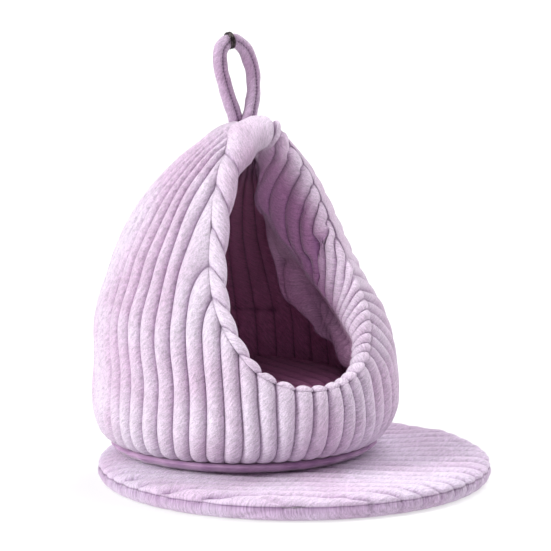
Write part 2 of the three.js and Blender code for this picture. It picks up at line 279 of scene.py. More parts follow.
LINING_FOLDS = (
    Fold(((20.7, 146.1), (16.5, 141.9), (12.9, 137.7), (10.5, 131.7), (9.3, 125.7), (11.0, 116.0)), 5.2, 2.7),
    Fold(((2.5, 125.7), (2.9, 115.5), (6.8, 105.1), (13.5, 93.0), (19.5, 79.0), (23.0, 66.0)), 2.7, 2.8),
    Fold(((9.7, 109.7), (16.0, 100.5), (23.5, 89.5), (30.5, 77.0)), 3.2, 2.8),
    Fold(((4.0, 127.5), (-2.7, 129.9), (-7.0, 127.0)), 3.0, 3.0),
    Fold(((13.0, 158.7), (9.0, 160.0), (5.0, 155.0)), 2.0, 1.8),
)

MAT_FOLDS = (
    Fold(((-31.5, -23.6), (-17.7, -21.2), (-2.7, -18.8), (3.3, -18.8)), 1.5, 1.3),
    Fold(((-15.0, -13.4), (-4.5, -16.4), (1.5, -18.8)), 1.6, 1.5),
    Fold(((-73.5, -11.6), (-69.9, -9.2), (-62.7, -7.4)), 1.2, 1.5),
    Fold(((-96.0, -5.0), (-90.0, -1.5), (-82.0, 0.0)), 1.2, 1.6),
    Fold(((-52.0, -16.0), (-45.0, -13.0), (-36.0, -12.0)), 1.2, 1.6),
)


def pick(*pieces: bpy.types.Object) -> None:
    """Selects these objects alone and makes the first the active one.

    Args:
        pieces: The objects.
    """
    bpy.ops.object.select_all(action="DESELECT")
    for piece in pieces:
        piece.select_set(True)
    bpy.context.view_layer.objects.active = pieces[0]


@dataclass
class ClothMesh:
    """Points, faces and cloth values that are collected for one piece."""

    points: list[Grid] = field(default_factory=list)
    faces: list[Grid] = field(default_factory=list)
    cloth: list[Grid] = field(default_factory=list)
    marks: dict[str, list[Grid]] = field(default_factory=lambda: {"groove": [], "seam": [], "shade": []})
    joined: list[tuple[Grid, Grid]] = field(default_factory=list)
    count: int = 0
    double: float = 4e-6
    sliver: float = 1e-6

    def rows(
        self, points: Grid, cloth: Grid, groove: Grid | float = 1.0, seam: Grid | float = 0.0,
        shade: Grid | float = 0.0,
    ) -> Grid:
        """Adds a grid of points with its cloth values.

        Args:
            points: Points by row and column.
            cloth: Rib coordinate and length along the rib at each point.
            groove: Closeness to a groove's floor, 0 to 1, where the finish paints shade.
            seam: Closeness to a sewn line, 0 to 1.
            shade: Share of painted shade, 0 to 1.

        Returns:
            The points' numbers by row and column.
        """
        shape = points.shape[:-1]
        self.points.append(points.reshape(-1, 3))
        self.cloth.append(np.broadcast_to(cloth, shape + (2,)).reshape(-1, 2))
        for key, values in (("groove", groove), ("seam", seam), ("shade", shade)):
            self.marks[key].append(np.broadcast_to(values, shape).reshape(-1))
        number = self.count + np.arange(points.size // 3).reshape(shape)
        self.count += points.size // 3
        return number

    def skin(self, number: Grid, flip: bool) -> None:
        """Adds the faces of a grid of point numbers.

        Args:
            number: Point numbers by row and column.
            flip: Whether the faces look the other way than columns cross rows.
        """
        a, b = number[:-1, :-1], number[:-1, 1:]
        c, d = number[1:, 1:], number[1:, :-1]
        order = (a, d, c, b) if flip else (a, b, c, d)
        self.faces.append(np.stack(order, -1).reshape(-1, 4))

    def join(self, first: Grid, second: Grid) -> None:
        """Puts two lines of as many points on their common middle."""
        self.joined.append((first, second))

    def lace(self, first: Grid, second: Grid, flip: bool) -> None:
        """Closes the slit between two lines of points that run side by side.

        Args:
            first: Point numbers of one line.
            second: Point numbers of the other.
            flip: Whether the faces look the other way.
        """
        points = np.concatenate(self.points)
        one, two = (length_along(points[line]) for line in (first, second))
        one, two = one / one[-1], two / two[-1]
        faces, i, j = [], 0, 0
        while i + 1 < len(first) or j + 1 < len(second):
            if j + 1 == len(second) or (i + 1 < len(first) and one[i + 1] <= two[j + 1]):
                faces.append((first[i], first[i + 1], second[j]))
                i += 1
            else:
                faces.append((first[i], second[j + 1], second[j]))
                j += 1
        self.faces.append(np.array(faces)[:, ::-1] if flip else np.array(faces))

    def make(self, name: str, shift: Grid) -> bpy.types.Object:
        """Makes the Blender object, in metres, with its doubles merged.

        Args:
            name: Name of the piece.
            shift: Place of the piece's own frame, in millimetres.

        Returns:
            The new object at the origin.
        """
        points = np.concatenate(self.points)
        for first, second in self.joined:
            points[first] = points[second] = (points[first] + points[second]) / 2.0
        points = (points + shift) * MM
        faces = [face for block in self.faces for face in block.tolist()]
        mesh = bpy.data.meshes.new(name)
        mesh.from_pydata(points.tolist(), [], faces)
        corners = np.zeros(len(mesh.loops), np.int32)
        mesh.loops.foreach_get("vertex_index", corners)
        layer = mesh.uv_layers.new(name="cloth")
        layer.data.foreach_set("uv", np.concatenate(self.cloth)[corners].astype(np.float32).ravel())
        for key, values in self.marks.items():
            attribute = mesh.attributes.new(key, "FLOAT", "POINT")
            attribute.data.foreach_set("value", np.concatenate(values).astype(np.float32))
        piece = bpy.data.objects.new(name, mesh)
        bpy.context.scene.collection.objects.link(piece)
        pick(piece)
        bpy.ops.object.mode_set(mode="EDIT")
        bpy.ops.mesh.select_all(action="SELECT")
        bpy.ops.mesh.remove_doubles(threshold=self.double)
        bpy.ops.mesh.dissolve_degenerate(threshold=self.sliver)
        bpy.ops.object.mode_set(mode="OBJECT")
        bpy.ops.object.shade_smooth()
        return piece


def colour(code: str) -> tuple[float, float, float, float]:
    """Linear colour of a web colour code, fully opaque."""
    parts = [int(code[k : k + 2], 16) / 255.0 for k in (1, 3, 5)]
    return (*(p / 12.92 if p <= 0.04045 else ((p + 0.055) / 1.055) ** 2.4 for p in parts), 1.0)


@dataclass
class NodeSheet:
    """Node tree that is filled node by node."""

    tree: bpy.types.NodeTree
    noise_span: Span = (0.28, 0.72)

    def give(self, node: bpy.types.Node, inputs: Inputs) -> None:
        """Feeds a node: a socket is linked to an input, a plain value is set there.

        Args:
            node: The node.
            inputs: Sockets and values by the input's name or number.
        """
        for key, given in inputs.items():
            if isinstance(given, Socket):
                self.tree.links.new(given, node.inputs[key])
            else:
                node.inputs[key].default_value = given

    def add(self, kind: str, inputs: Inputs | None = None, **settings: object) -> bpy.types.Node:
        """Adds a shader node.

        Args:
            kind: Node type without its common first part.
            inputs: Sockets and values by the input's name or number.
            settings: The node's own settings.

        Returns:
            The new node.
        """
        node = self.tree.nodes.new(f"ShaderNode{kind}")
        for key, value in settings.items():
            setattr(node, key, value)
        self.give(node, inputs or {})
        return node

    def noise(self, vector: Socket, scale: float, detail: float, rough: float = 0.5) -> Socket:
        """Noise of a scale over a vector."""
        inputs = {"Vector": vector, "Scale": scale, "Detail": detail, "Roughness": rough}
        return self.add("TexNoise", inputs).outputs["Fac"]

    def bump(self, height: Socket, strength: float, distance: float) -> Socket:
        """Normal that is raised by a height."""
        inputs = {"Height": height, "Strength": strength, "Distance": distance}
        return self.add("Bump", inputs).outputs["Normal"]

    def between(self, mask: Socket, span: Span, one: str, two: str) -> Socket:
        """Colour that goes over to another as a mask crosses a span.

        Args:
            mask: The mask.
            span: Where the change begins and ends.
            one: Colour before the span.
            two: Colour past it.

        Returns:
            The mixed colour.
        """
        ramp = self.add("ValToRGB", {"Fac": mask})
        for element, at, code in zip(ramp.color_ramp.elements, span, (one, two)):
            element.position = at
            element.color = colour(code)
        return ramp.outputs["Color"]

    def scaled(self, tint: Socket, mask: Socket, low: float, high: float) -> Socket:
        """Colour made darker and lighter by a noise mask.

        Args:
            tint: The colour.
            mask: The noise.
            low: Factor where the noise is low.
            high: Factor where it is high.

        Returns:
            The changed colour.
        """
        first, last = self.noise_span
        inputs = {"Value": mask, "From Min": first, "From Max": last, "To Min": low, "To Max": high}
        span = self.add("MapRange", inputs)
        grown = self.add("VectorMath", {0: tint, "Scale": span.outputs["Result"]}, operation="SCALE")
        return grown.outputs["Vector"]

    def marked(self, tint: Socket, mark: str, power: float, most: float, code: str) -> Socket:
        """Colour that goes over to another where a mark of the piece is high.

        Args:
            tint: Colour where the mark is 0.
            mark: Name of the piece's attribute.
            power: Power that the mark is raised to.
            most: Share of the other colour where the mark is 1.
            code: The other colour.

        Returns:
            The mixed colour.
        """
        read = self.add("Attribute", attribute_name=mark)
        curve = self.add("Math", {0: read.outputs["Fac"], 1: power}, operation="POWER")
        share = self.add("Math", {0: curve.outputs["Value"], 1: most}, operation="MULTIPLY")
        one, two = 6, 7
        inputs = {"Factor": share.outputs["Value"], one: tint, two: colour(code)}
        mix = self.add("Mix", inputs, data_type="RGBA")
        return mix.outputs[2]


class ClothGroup:
    """Node group that is built once and placed in several materials."""

    name: str
    takes: str
    gives: tuple[str, ...]

    @classmethod
    def fill(cls, sheet: NodeSheet, taken: Socket) -> tuple[Socket, ...]:
        """Adds the group's own nodes and gives its outputs in order."""
        raise NotImplementedError

    @classmethod
    def tree(cls) -> bpy.types.NodeTree:
        """Builds the group on its first use.

        Returns:
            The node group.
        """
        found = bpy.data.node_groups.get(cls.name)
        if found:
            return found
        tree = bpy.data.node_groups.new(cls.name, "ShaderNodeTree")
        tree.interface.new_socket(name=cls.takes, in_out="INPUT", socket_type="NodeSocketVector")
        for name in cls.gives:
            tree.interface.new_socket(name=name, in_out="OUTPUT", socket_type="NodeSocketFloat")
        face_in, face_out = tree.nodes.new("NodeGroupInput"), tree.nodes.new("NodeGroupOutput")
        made = cls.fill(NodeSheet(tree), face_in.outputs[cls.takes])
        for name, socket in zip(cls.gives, made):
            tree.links.new(socket, face_out.inputs[name])
        return tree


class NapGroup(ClothGroup):
    """The pile: fine slanting streaks and specks on the cloth's own map."""

    name = "plush_nap"
    takes = "Cloth"
    gives = ("Streaks", "Pile")
    slant = math.radians(-46.0)
    drawn_out = 0.26

    @classmethod
    def fill(cls, sheet: NodeSheet, taken: Socket) -> tuple[Socket, ...]:
        """Adds noise that is drawn out along the slant of the pile, and finer noise for its specks.

        Args:
            sheet: The group's nodes.
            taken: The cloth's map.

        Returns:
            Streaks and pile.
        """
        turn, scale = (0.0, 0.0, cls.slant), (CLOTH_UNIT, 1.0, 1.0)
        lay = sheet.add("Mapping", {"Vector": taken, "Rotation": turn, "Scale": scale}).outputs["Vector"]
        drawn = sheet.add("Mapping", {"Vector": lay, "Scale": (cls.drawn_out, 1.0, 1.0)}).outputs["Vector"]
        return sheet.noise(drawn, 0.9, 4.0, 0.6), sheet.noise(lay, 1.5, 3.0)


class DriftGroup(ClothGroup):
    """The slow drift of hue and brightness over brushed plush."""

    name = "plush_drift"
    takes = "Place"
    gives = ("Hue", "Brushed")

    @classmethod
    def fill(cls, sheet: NodeSheet, taken: Socket) -> tuple[Socket, ...]:
        """Adds wide noise for the hue and narrower noise for the brushed places."""
        return sheet.noise(taken, 26.0, 2.0), sheet.noise(taken, 95.0, 4.0)


class Finish:
    """What all finishes share: a material whose main shader takes what the surface gives."""

    name: str

    def surface(self, sheet: NodeSheet) -> Inputs:
        """Inputs of the main shader, with the nodes that feed them."""
        raise NotImplementedError

    def material(self) -> bpy.types.Material:
        """Builds the material.

        Returns:
            The new material.
        """
        made = bpy.data.materials.new(self.name)
        made.use_nodes = True
        sheet = NodeSheet(made.node_tree)
        sheet.give(made.node_tree.nodes["Principled BSDF"], self.surface(sheet))
        return made


@dataclass(frozen=True)
class PlushFinish(Finish):
    """Short-pile plush: two lilacs that drift, painted shade in the grooves and where the shade mark is high,
    slanting nap and a velvet sheen.
    """

    name: str
    warm: str
    cool: str
    # deep is the colour of the painted shade in grooves and creases.
    deep: str
    thread: str
    sheen: float = 0.6
    nap: float = 0.27
    pile: float = 0.8
    # Share of the deep colour, as painted shade, where the groove mark is 1.
    groove: float = 0.5
    relief: float = 0.85
    # Share and colour of the painted shade where the shade mark is 1.
    shade: float = 0.0
    shade_colour: str = "#ac5c88"
    hue_span: Span = (0.36, 0.64)
    brushed: Span = (0.94, 1.05)
    groove_power: float = 3.2
    sewn: float = 0.8
    sewn_power: float = 1.4
    pile_height: float = 1.1

    def surface(self, sheet: NodeSheet) -> Inputs:
        """Colour, relief and sheen of the plush.

        Args:
            sheet: The material's nodes.

        Returns:
            Inputs of the main shader.
        """
        place = sheet.add("TexCoord").outputs["Object"]
        cloth = sheet.add("UVMap", uv_map="cloth").outputs["UV"]
        nap = sheet.add("Group", {"Cloth": cloth}, node_tree=NapGroup.tree()).outputs
        drift = sheet.add("Group", {"Place": place}, node_tree=DriftGroup.tree()).outputs
        tint = sheet.between(drift["Hue"], self.hue_span, self.warm, self.cool)
        tint = sheet.scaled(tint, drift["Brushed"], *self.brushed)
        # Painted shade: the colour goes over to the shade colour where the shade mark is high.
        if self.shade > 0.0:
            tint = sheet.marked(tint, "shade", 1.0, self.shade, self.shade_colour)
        # Painted shade in grooves and creases: the colour goes over to the deep colour where the groove mark
        # is high.
        tint = sheet.marked(tint, "groove", self.groove_power, self.groove, self.deep)
        tint = sheet.marked(tint, "seam", self.sewn_power, self.sewn, self.thread)
        for mask, nap_share in (("Streaks", self.nap), ("Pile", self.pile * self.nap)):
            tint = sheet.scaled(tint, nap[mask], 1.0 - nap_share, 1.0 + nap_share)
        height = sheet.add("Math", {0: nap["Streaks"], 1: nap["Pile"]}, operation="ADD").outputs["Value"]
        return {
            "Base Color": tint,
            "Normal": sheet.bump(height, self.relief, self.pile_height * MM),
            "Roughness": 0.92,
            "Specular IOR Level": 0.18,
            "Sheen Weight": self.sheen,
            "Sheen Roughness": 0.42,
            "Sheen Tint": (1.0, 0.93, 1.0, 1.0),
        }


@dataclass(frozen=True)
class BandFinish(Finish):
    """Smooth darker mauve cloth of the band, with a fine short nap."""

    name: str = "mauve_band"
    light: str = "#b592b4"
    dark: str = "#98739a"
    drift_span: Span = (0.35, 0.65)
    nap_height: float = 0.6

    def surface(self, sheet: NodeSheet) -> Inputs:
        """Colour, relief and sheen of the band.

        Args:
            sheet: The material's nodes.

        Returns:
            Inputs of the main shader.
        """
        place = sheet.add("TexCoord").outputs["Object"]
        drift = sheet.add("Group", {"Place": place}, node_tree=DriftGroup.tree()).outputs
        return {
            "Base Color": sheet.between(drift["Brushed"], self.drift_span, self.dark, self.light),
            "Normal": sheet.bump(sheet.noise(place, 900.0, 3.0), 0.3, self.nap_height * MM),
            "Roughness": 0.9,
            "Specular IOR Level": 0.2,
            "Sheen Weight": 0.4,
            "Sheen Roughness": 0.4,
        }


@dataclass(frozen=True)
class SteelFinish(Finish):
    """Dark gunmetal wire with a satin, slightly rubbed surface."""

    name: str = "gunmetal_wire"
    dark: str = "#2b2527"
    rubbed: str = "#6b6063"
    rub_span: Span = (0.4, 0.75)
    satin: Span = (0.28, 0.5)

    def surface(self, sheet: NodeSheet) -> Inputs:
        """Colour and roughness of the wire.

        Args:
            sheet: The material's nodes.

        Returns:
            Inputs of the main shader.
        """
        rub = sheet.noise(sheet.add("TexCoord").outputs["Object"], 420.0, 5.0)
        least, most = self.satin
        rough = sheet.add("MapRange", {"Value": rub, "To Min": least, "To Max": most})
        return {
            "Base Color": sheet.between(rub, self.rub_span, self.dark, self.rubbed),
            "Roughness": rough.outputs["Result"],
            "Metallic": 1.0,
        }


@dataclass(frozen=True)
class PaperFinish(Finish):
    """Pale paper of the studio floor, which glows a little."""

    name: str = "studio_paper"
    grey: float = 0.42
    glow: float = 0.54

    def surface(self, sheet: NodeSheet) -> Inputs:
        """Plain values of the paper.

        Args:
            sheet: The material's nodes, to which the paper adds none.

        Returns:
            Inputs of the main shader.
        """
        return {
            "Base Color": (self.grey, self.grey, self.grey, 1.0),
            "Emission Color": (1.0, 1.0, 1.0, 1.0),
            "Emission Strength": self.glow,
            "Roughness": 0.95,
            "Specular IOR Level": 0.1,
        }


# Each plush gives warm and cool lilac, the deep colour of its painted groove shade and its thread colour.
LILAC = PlushFinish("lilac_plush", "#d2b8d1", "#ddcee0", "#7d4f86", "#5d3563")
LOOP = PlushFinish("loop_plush", "#b999b8", "#c7afc9", "#7a4f80", "#4f2b55")
MAT = PlushFinish("mat_plush", "#d8bfda", "#e1d1e7", "#7d4f86", "#5d3563", groove=0.62)
# Roll plush: the wall's plush made lighter as painted light on its lit lobes, with painted shade on its inner
# part.
ROLL = PlushFinish("roll_plush", "#d9bfd8", "#e3d3e6", "#7d4f86", "#5d3563", shade=0.92, shade_colour="#a66e9e")
# Lining plush: a deeper copy of the lilac as painted shade inside the hut; its shade colour paints the plum
# of the deep shade at the back.
INSIDE = PlushFinish(
    "inside_plush_in_shade", "#b884ac", "#c39abb", "#4f2947", "#3a1832", sheen=0.2, shade=0.95, shade_colour="#db95c0"
)
# Floor pad plush: a darker copy of the lining plush as painted shade on the hut's floor.
FLOOR_IN_SHADE = PlushFinish(
    "floor_plush_in_shade", "#9c6b91", "#a67f9f", "#4f2947", "#3a1832", sheen=0.2, shade=0.95, shade_colour="#aa668f"
)


class Piece:
    """What all pieces share: a label, a finish, the solid that each replaces and its filling."""

    label: str
    finish: Finish
    slot: Slot
    node: str
    fill: float | None = None

    def build(self) -> bpy.types.Object:
        """Makes the piece's object."""
        raise NotImplementedError

    def dress(self, piece: bpy.types.Object) -> None:
        """Gives the built piece its finish and ties it to the frame.

        Args:
            piece: The object that build made.
        """
        piece.data.materials.clear()
        piece.data.materials.append(self.finish.material())
        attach(piece, BODY)
        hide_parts(self.node)
        LOG.info("%s: %d faces", piece.name, len(piece.data.polygons))


@dataclass
class HutShape:
    """Outline of the hut as level rings, with the mouth seam on it.

    The outline gives height, radius and shift to the back; the mouth gives height, degrees
    from the front and half the thickness of the roll.
    """

    lip: float = 49.5
    top: float = 197.0
    foot: float = 6.8
    ribs_around: int = 53
    upright_rib: float = 14.0
    level: Span = (8.0, 45.0)
    heart: Place = (0.0, 5.0, 100.0)
    drop: Span = (0.3, 2.0)
    outline: tuple[Place, ...] = (
        (0, 76, 0), (6, 80.5, 0), (12, 86, -1), (23, 90.6, -2.5), (35, 91.4, -3), (54, 90, -2),
        (71, 89, 1.2), (88, 85.2, 5.4), (106, 77.6, 9.9), (124, 69.4, 12.5), (143, 59.4, 11.1),
        (160, 48.9, 7.2), (173, 38.7, 2.3), (184, 27.7, -2.4), (191, 20.9, -4.5), (195, 13.4, -4.5),
        (197, 0, -3),
    )
    mouth: tuple[Place, ...] = (
        (49.5, 0, 4.2), (51, 9.5, 4.2), (54.5, 16.5, 4.5), (61, 24, 5), (73, 30.6, 5.5), (84, 34.8, 6),
        (95, 37.6, 6.3), (108, 39.6, 6.5), (120, 40.4, 6.5), (142, 42, 6.5), (164, 46, 6.5), (182, 53.5, 6.5),
        (190, 60, 6.5), (194, 70, 6.5), (195.7, 80, 6.5), (197, 90, 6.5),
    )

    def __post_init__(self) -> None:
        """Turns the tables into curves."""
        height, radius, back = np.array(self.outline, float).T
        self.squared = Curve(height, radius**2)
        self.back = Curve(height, back)
        height, degrees, half = np.array(self.mouth, float).T
        rise = self.rise(height)
        self.mouth_degrees = Curve(rise, degrees)
        self.roll_half = Curve(rise, half)
        self.per_radian = self.ribs_around / (2.0 * np.pi)
        self.upright_angle = self.upright_rib / self.per_radian

    def rise(self, height: Grid) -> Grid:
        """Place of a height along the mouth seam, 0 at the lip and 1 at the top."""
        return np.sqrt(np.clip((height - self.lip) / (self.top - self.lip), 0.0, 1.0))

    def radius(self, height: Grid) -> Grid:
        """Radius of the level ring at heights."""
        return np.sqrt(np.clip(self.squared(height), 0.0, None))

    def mouth_angle(self, height: Grid) -> Grid:
        """Angle of the mouth seam from the front at heights."""
        return np.radians(self.mouth_degrees(self.rise(height)))

    def outward(self, angle: Grid, height: Grid) -> Grid:
        """Outward direction of the wall; near the foot it is kept level.

        Args:
            angle: Angles from the front.
            height: Heights over the hut's foot.

        Returns:
            Unit vectors.
        """
        radius = self.radius(height)
        tilt = ease(*self.level, height)
        up = (self.back.rate(height) * np.cos(angle) * radius - self.squared.rate(height) / 2.0) * tilt
        return unit(np.stack([np.sin(angle) * radius, -np.cos(angle) * radius, up], -1))

    def point(self, angle: Grid, height: Grid, inset: Grid | float) -> Grid:
        """Points of the wall, moved inwards by an inset.

        Args:
            angle: Angles from the front.
            height: Heights over the hut's foot.
            inset: Depths below the crest of the ribs.

        Returns:
            Points in the hut's own frame.
        """
        angle, height, inset = np.broadcast_arrays(angle, height, inset)
        radius = self.radius(height)
        skin = np.stack([np.sin(angle) * radius, self.back(height) - np.cos(angle) * radius, height], -1)
        return skin - self.outward(angle, height) * inset[..., None]

    def onto_wall(self, points: Grid, halvings: int = 36) -> tuple[Grid, Grid]:
        """Drops points onto the wall along lines from the heart of the hut.

        Args:
            points: Points near the wall.
            halvings: How often the search halves its stretch.

        Returns:
            Angles and heights on the wall.
        """
        heart = np.array(self.heart)
        reach = points - heart
        low, high = (np.full(points.shape[:-1], end) for end in self.drop)
        for _ in range(halvings):
            middle = (low + high) / 2.0
            at = heart + reach * middle[..., None]
            off = np.hypot(at[..., 0], at[..., 1] - self.back(at[..., 2]))
            outside = (at[..., 2] >= self.top) | (off > self.radius(at[..., 2]))
            high = np.where(outside, middle, high)
            low = np.where(outside, low, middle)
        at = heart + reach * low[..., None]
        return np.arctan2(at[..., 0], self.back(at[..., 2]) - at[..., 1]), at[..., 2]


@dataclass
class MouthSeam:
    """The sewn line round the mouth, right half, from the lip to the top."""

    shape: HutShape
    count: int = 601
    fine: int = 2401
    chart: tuple[int, int] = (181, 199)
    batches: int = 24

    def __post_init__(self) -> None:
        """Traces the seam at even distances and measures how far the wall lies from it."""
        rise = np.linspace(0.0, 1.0, self.fine)
        run = length_along(self.shape.point(*self._trace(rise), 0.0))
        self.run = np.linspace(0.0, run[-1], self.count)
        rise = np.interp(self.run, run, rise)
        self.angle, self.height = self._trace(rise)
        self.points = self.shape.point(self.angle, self.height, 0.0)
        along = np.gradient(self.points, axis=0)
        along[0], along[-1] = (1.0, 0.0, 0.0), (-1.0, 0.0, 0.0)
        self.into = unit(np.cross(self.shape.outward(self.angle, self.height), unit(along)))
        self.half = self.shape.roll_half(rise)
        self.distance_chart, self.run_chart = self._charts()

    def _trace(self, rise: Grid) -> tuple[Grid, Grid]:
        """Angle and height of the seam at shares of its rise."""
        height = self.shape.lip + (self.shape.top - self.shape.lip) * rise**2
        return np.radians(self.shape.mouth_degrees(rise)), height

    def _charts(self) -> tuple[Grid, Grid]:
        """Charts the wall by angle and height.

        Returns:
            Distance from the seam, below 0 in the mouth, and run of the nearest seam place.
        """
        angles, heights = self.chart
        angle, height = np.meshgrid(
            np.linspace(0.0, np.pi, angles), np.linspace(0.0, self.shape.top, heights), indexing="ij"
        )
        wall = self.shape.point(angle, height, 0.0).reshape(-1, 3)
        seam, run = self.points[::2], self.run[::2]
        near, place = [], []
        for part in np.array_split(wall, self.batches):
            squared = ((part[:, None, :] - seam[None, :, :]) ** 2).sum(-1)
            near.append(np.sqrt(squared.min(1)))
            place.append(run[squared.argmin(1)])
        inside = (height > self.shape.lip) & (angle < self.shape.mouth_angle(height))
        near = np.concatenate(near).reshape(angle.shape) * np.where(inside, -1.0, 1.0)
        return near, np.concatenate(place).reshape(angle.shape)

    def nearest(self, angle: Grid, height: Grid) -> tuple[Grid, Grid]:
        """Distance of wall places from the seam and the run of the nearest seam place.

        Args:
            angle: Angles from the front.
            height: Heights over the hut's foot.

        Returns:
            Distances, below 0 in the mouth, and runs.
        """
        angle, height = np.broadcast_arrays(angle, height)
        last_a, last_h = (size - 1 for size in self.chart)
        a = np.clip(angle / np.pi, 0.0, 1.0) * last_a
        h = np.clip(height / self.shape.top, 0.0, 1.0) * last_h
        i = np.minimum(a.astype(int), last_a - 1)
        j = np.minimum(h.astype(int), last_h - 1)
        a, h = a - i, h - j
        read = []
        for chart in (self.distance_chart, self.run_chart):
            low = chart[i, j] * (1 - a) + chart[i + 1, j] * a
            high = chart[i, j + 1] * (1 - a) + chart[i + 1, j + 1] * a
            read.append(low * (1 - h) + high * h)
        return read[0], read[1]

    def read(self, values: Grid, place: Grid) -> Grid:
        """Reads what is kept for each seam place at places between them.

        Args:
            values: One value or one row of values per seam place.
            place: Numbers of seam places, with fractions.

        Returns:
            Values at the places.
        """
        numbers = np.arange(self.count, dtype=float)
        if values.ndim == 1:
            return np.interp(place, numbers, values)
        return np.stack([np.interp(place, numbers, column) for column in values.T], -1)


@dataclass(frozen=True)
class Sewing:
    """How the cloth of one half is laid, read along the mouth seam from the lip to the top.

    The lobes and the wall's ribs are counted over the run of the seam; slant, width and
    swell of the roll are read by height.
    """

    lobes: Table
    ribs: Table
    slant: Table
    width: Table
    puff: Table
    bag: Table
    share: Table
    slant_start: float
    slant_bend: float
    upright: float
    bend_reach: float
    bend_power: float
    lining_ribs: float


def counted(grooves: tuple[float, ...], *rest: Span) -> Table:
    """Counts lobes over the seam's run.

    Args:
        grooves: Runs of the grooves between lobes, from the lip up.
        rest: Runs and counts past the last groove.

    Returns:
        Runs and counts.
    """
    return ((0.0, 0.0), *((run, k + 0.5) for k, run in enumerate(grooves)), *rest)


LEFT_GROOVES = (4.5, 16, 28.8, 41.8, 56.9, 76.9, 95.7, 115.7, 139.3, 164.5, 185.2)
LEFT_SEWING = Sewing(
    lobes=counted(LEFT_GROOVES, (203, 10.86), (SEAM_RUN, 11)),
    ribs=counted(
        LEFT_GROOVES[:8], (139.3, 8.0), (164.5, 8.5), (185.2, 9.5), (202, 12.2), (SEAM_RUN, 14)
    ),
    slant=(
        (49.5, 0), (56, 0.25), (61, 0.45), (73, 0.75), (88, 0.95), (120, 1.0), (164, 1.0), (182, 0.85),
        (197, 0),
    ),
    width=(
        (49.5, 6), (54.5, 6.5), (61, 7), (73, 8.5), (84, 10), (95, 11), (108, 12), (120, 12.5), (142, 13.5),
        (164, 16), (182, 20), (190, 26), (194, 31), (197, 34),
    ),
    puff=((49.5, 0), (85, 1), (150, 1.5), (182, 3), (197, 4)),
    bag=((0, 0), (197, 0)),
    share=(
        (0, 1), (80, 1), (100, 0.975), (125, 0.94), (150, 0.9), (172, 0.86), (182, 0.76), (190, 0.5),
        (197, 0.05),
    ),
    slant_start=1.0,
    slant_bend=2.3,
    upright=14.0,
    bend_reach=22.0,
    bend_power=2.0,
    lining_ribs=20.5,
)

RIGHT_GROOVES = (
    5.5, 14.8, 22.2, 30.3, 40.3, 48.8, 55.1, 62.5, 71.3, 78.4, 85.7, 92.5, 102.7, 113.5, 126.8, 138.5, 150.1,
    161.1, 174.1, 187.9, 199.4, 208.5,
)
RIGHT_SEWING = Sewing(
    lobes=counted(RIGHT_GROOVES, (215, 21.85), (SEAM_RUN, 22)),
    ribs=counted(RIGHT_GROOVES[:19], (188.9, 19.6), (197.4, 21.3), (201, 22.7), (SEAM_RUN, 26)),
    slant=(
        (49.5, 0), (54, 0.3), (61, 1.1), (71, 2.3), (85, 3.8), (100, 5.0), (118, 5.8), (135, 5.9), (150, 5.4),
        (164, 4.2), (182, 2.6), (190, 1.2), (197, 0),
    ),
    width=(
        (49.5, 6), (54.5, 6.5), (61, 7.5), (73, 10), (84, 12), (95, 12.5), (108, 12), (120, 10.5), (135, 8.5),
        (150, 8), (164, 10), (175, 14), (184, 19), (188, 22), (191, 24), (194, 28), (197, 34),
    ),
    puff=(
        (49.5, 0), (56, 0.5), (64, 2), (73, 5), (85, 8.5), (100, 12), (118, 17), (132, 23), (145, 26),
        (160, 26), (176, 21), (188, 11), (197, 4),
    ),
    bag=(
        (0, 0), (46, 0), (54, 7), (62, 15), (70, 20), (80, 21), (92, 20), (106, 18), (120, 14), (136, 8),
        (160, 7), (176, 4), (188, 0), (197, 0),
    ),
    share=(
        (0, 1), (50, 1), (72, 0.94), (88, 0.888), (103, 0.82), (119, 0.72), (141, 0.62), (164, 0.52),
        (182, 0.42), (190, 0.32), (197, 0.04),
    ),
    slant_start=1.25,
    slant_bend=1.0,
    upright=26.5,
    bend_reach=52.0,
    bend_power=1.45,
    lining_ribs=32.5,
)


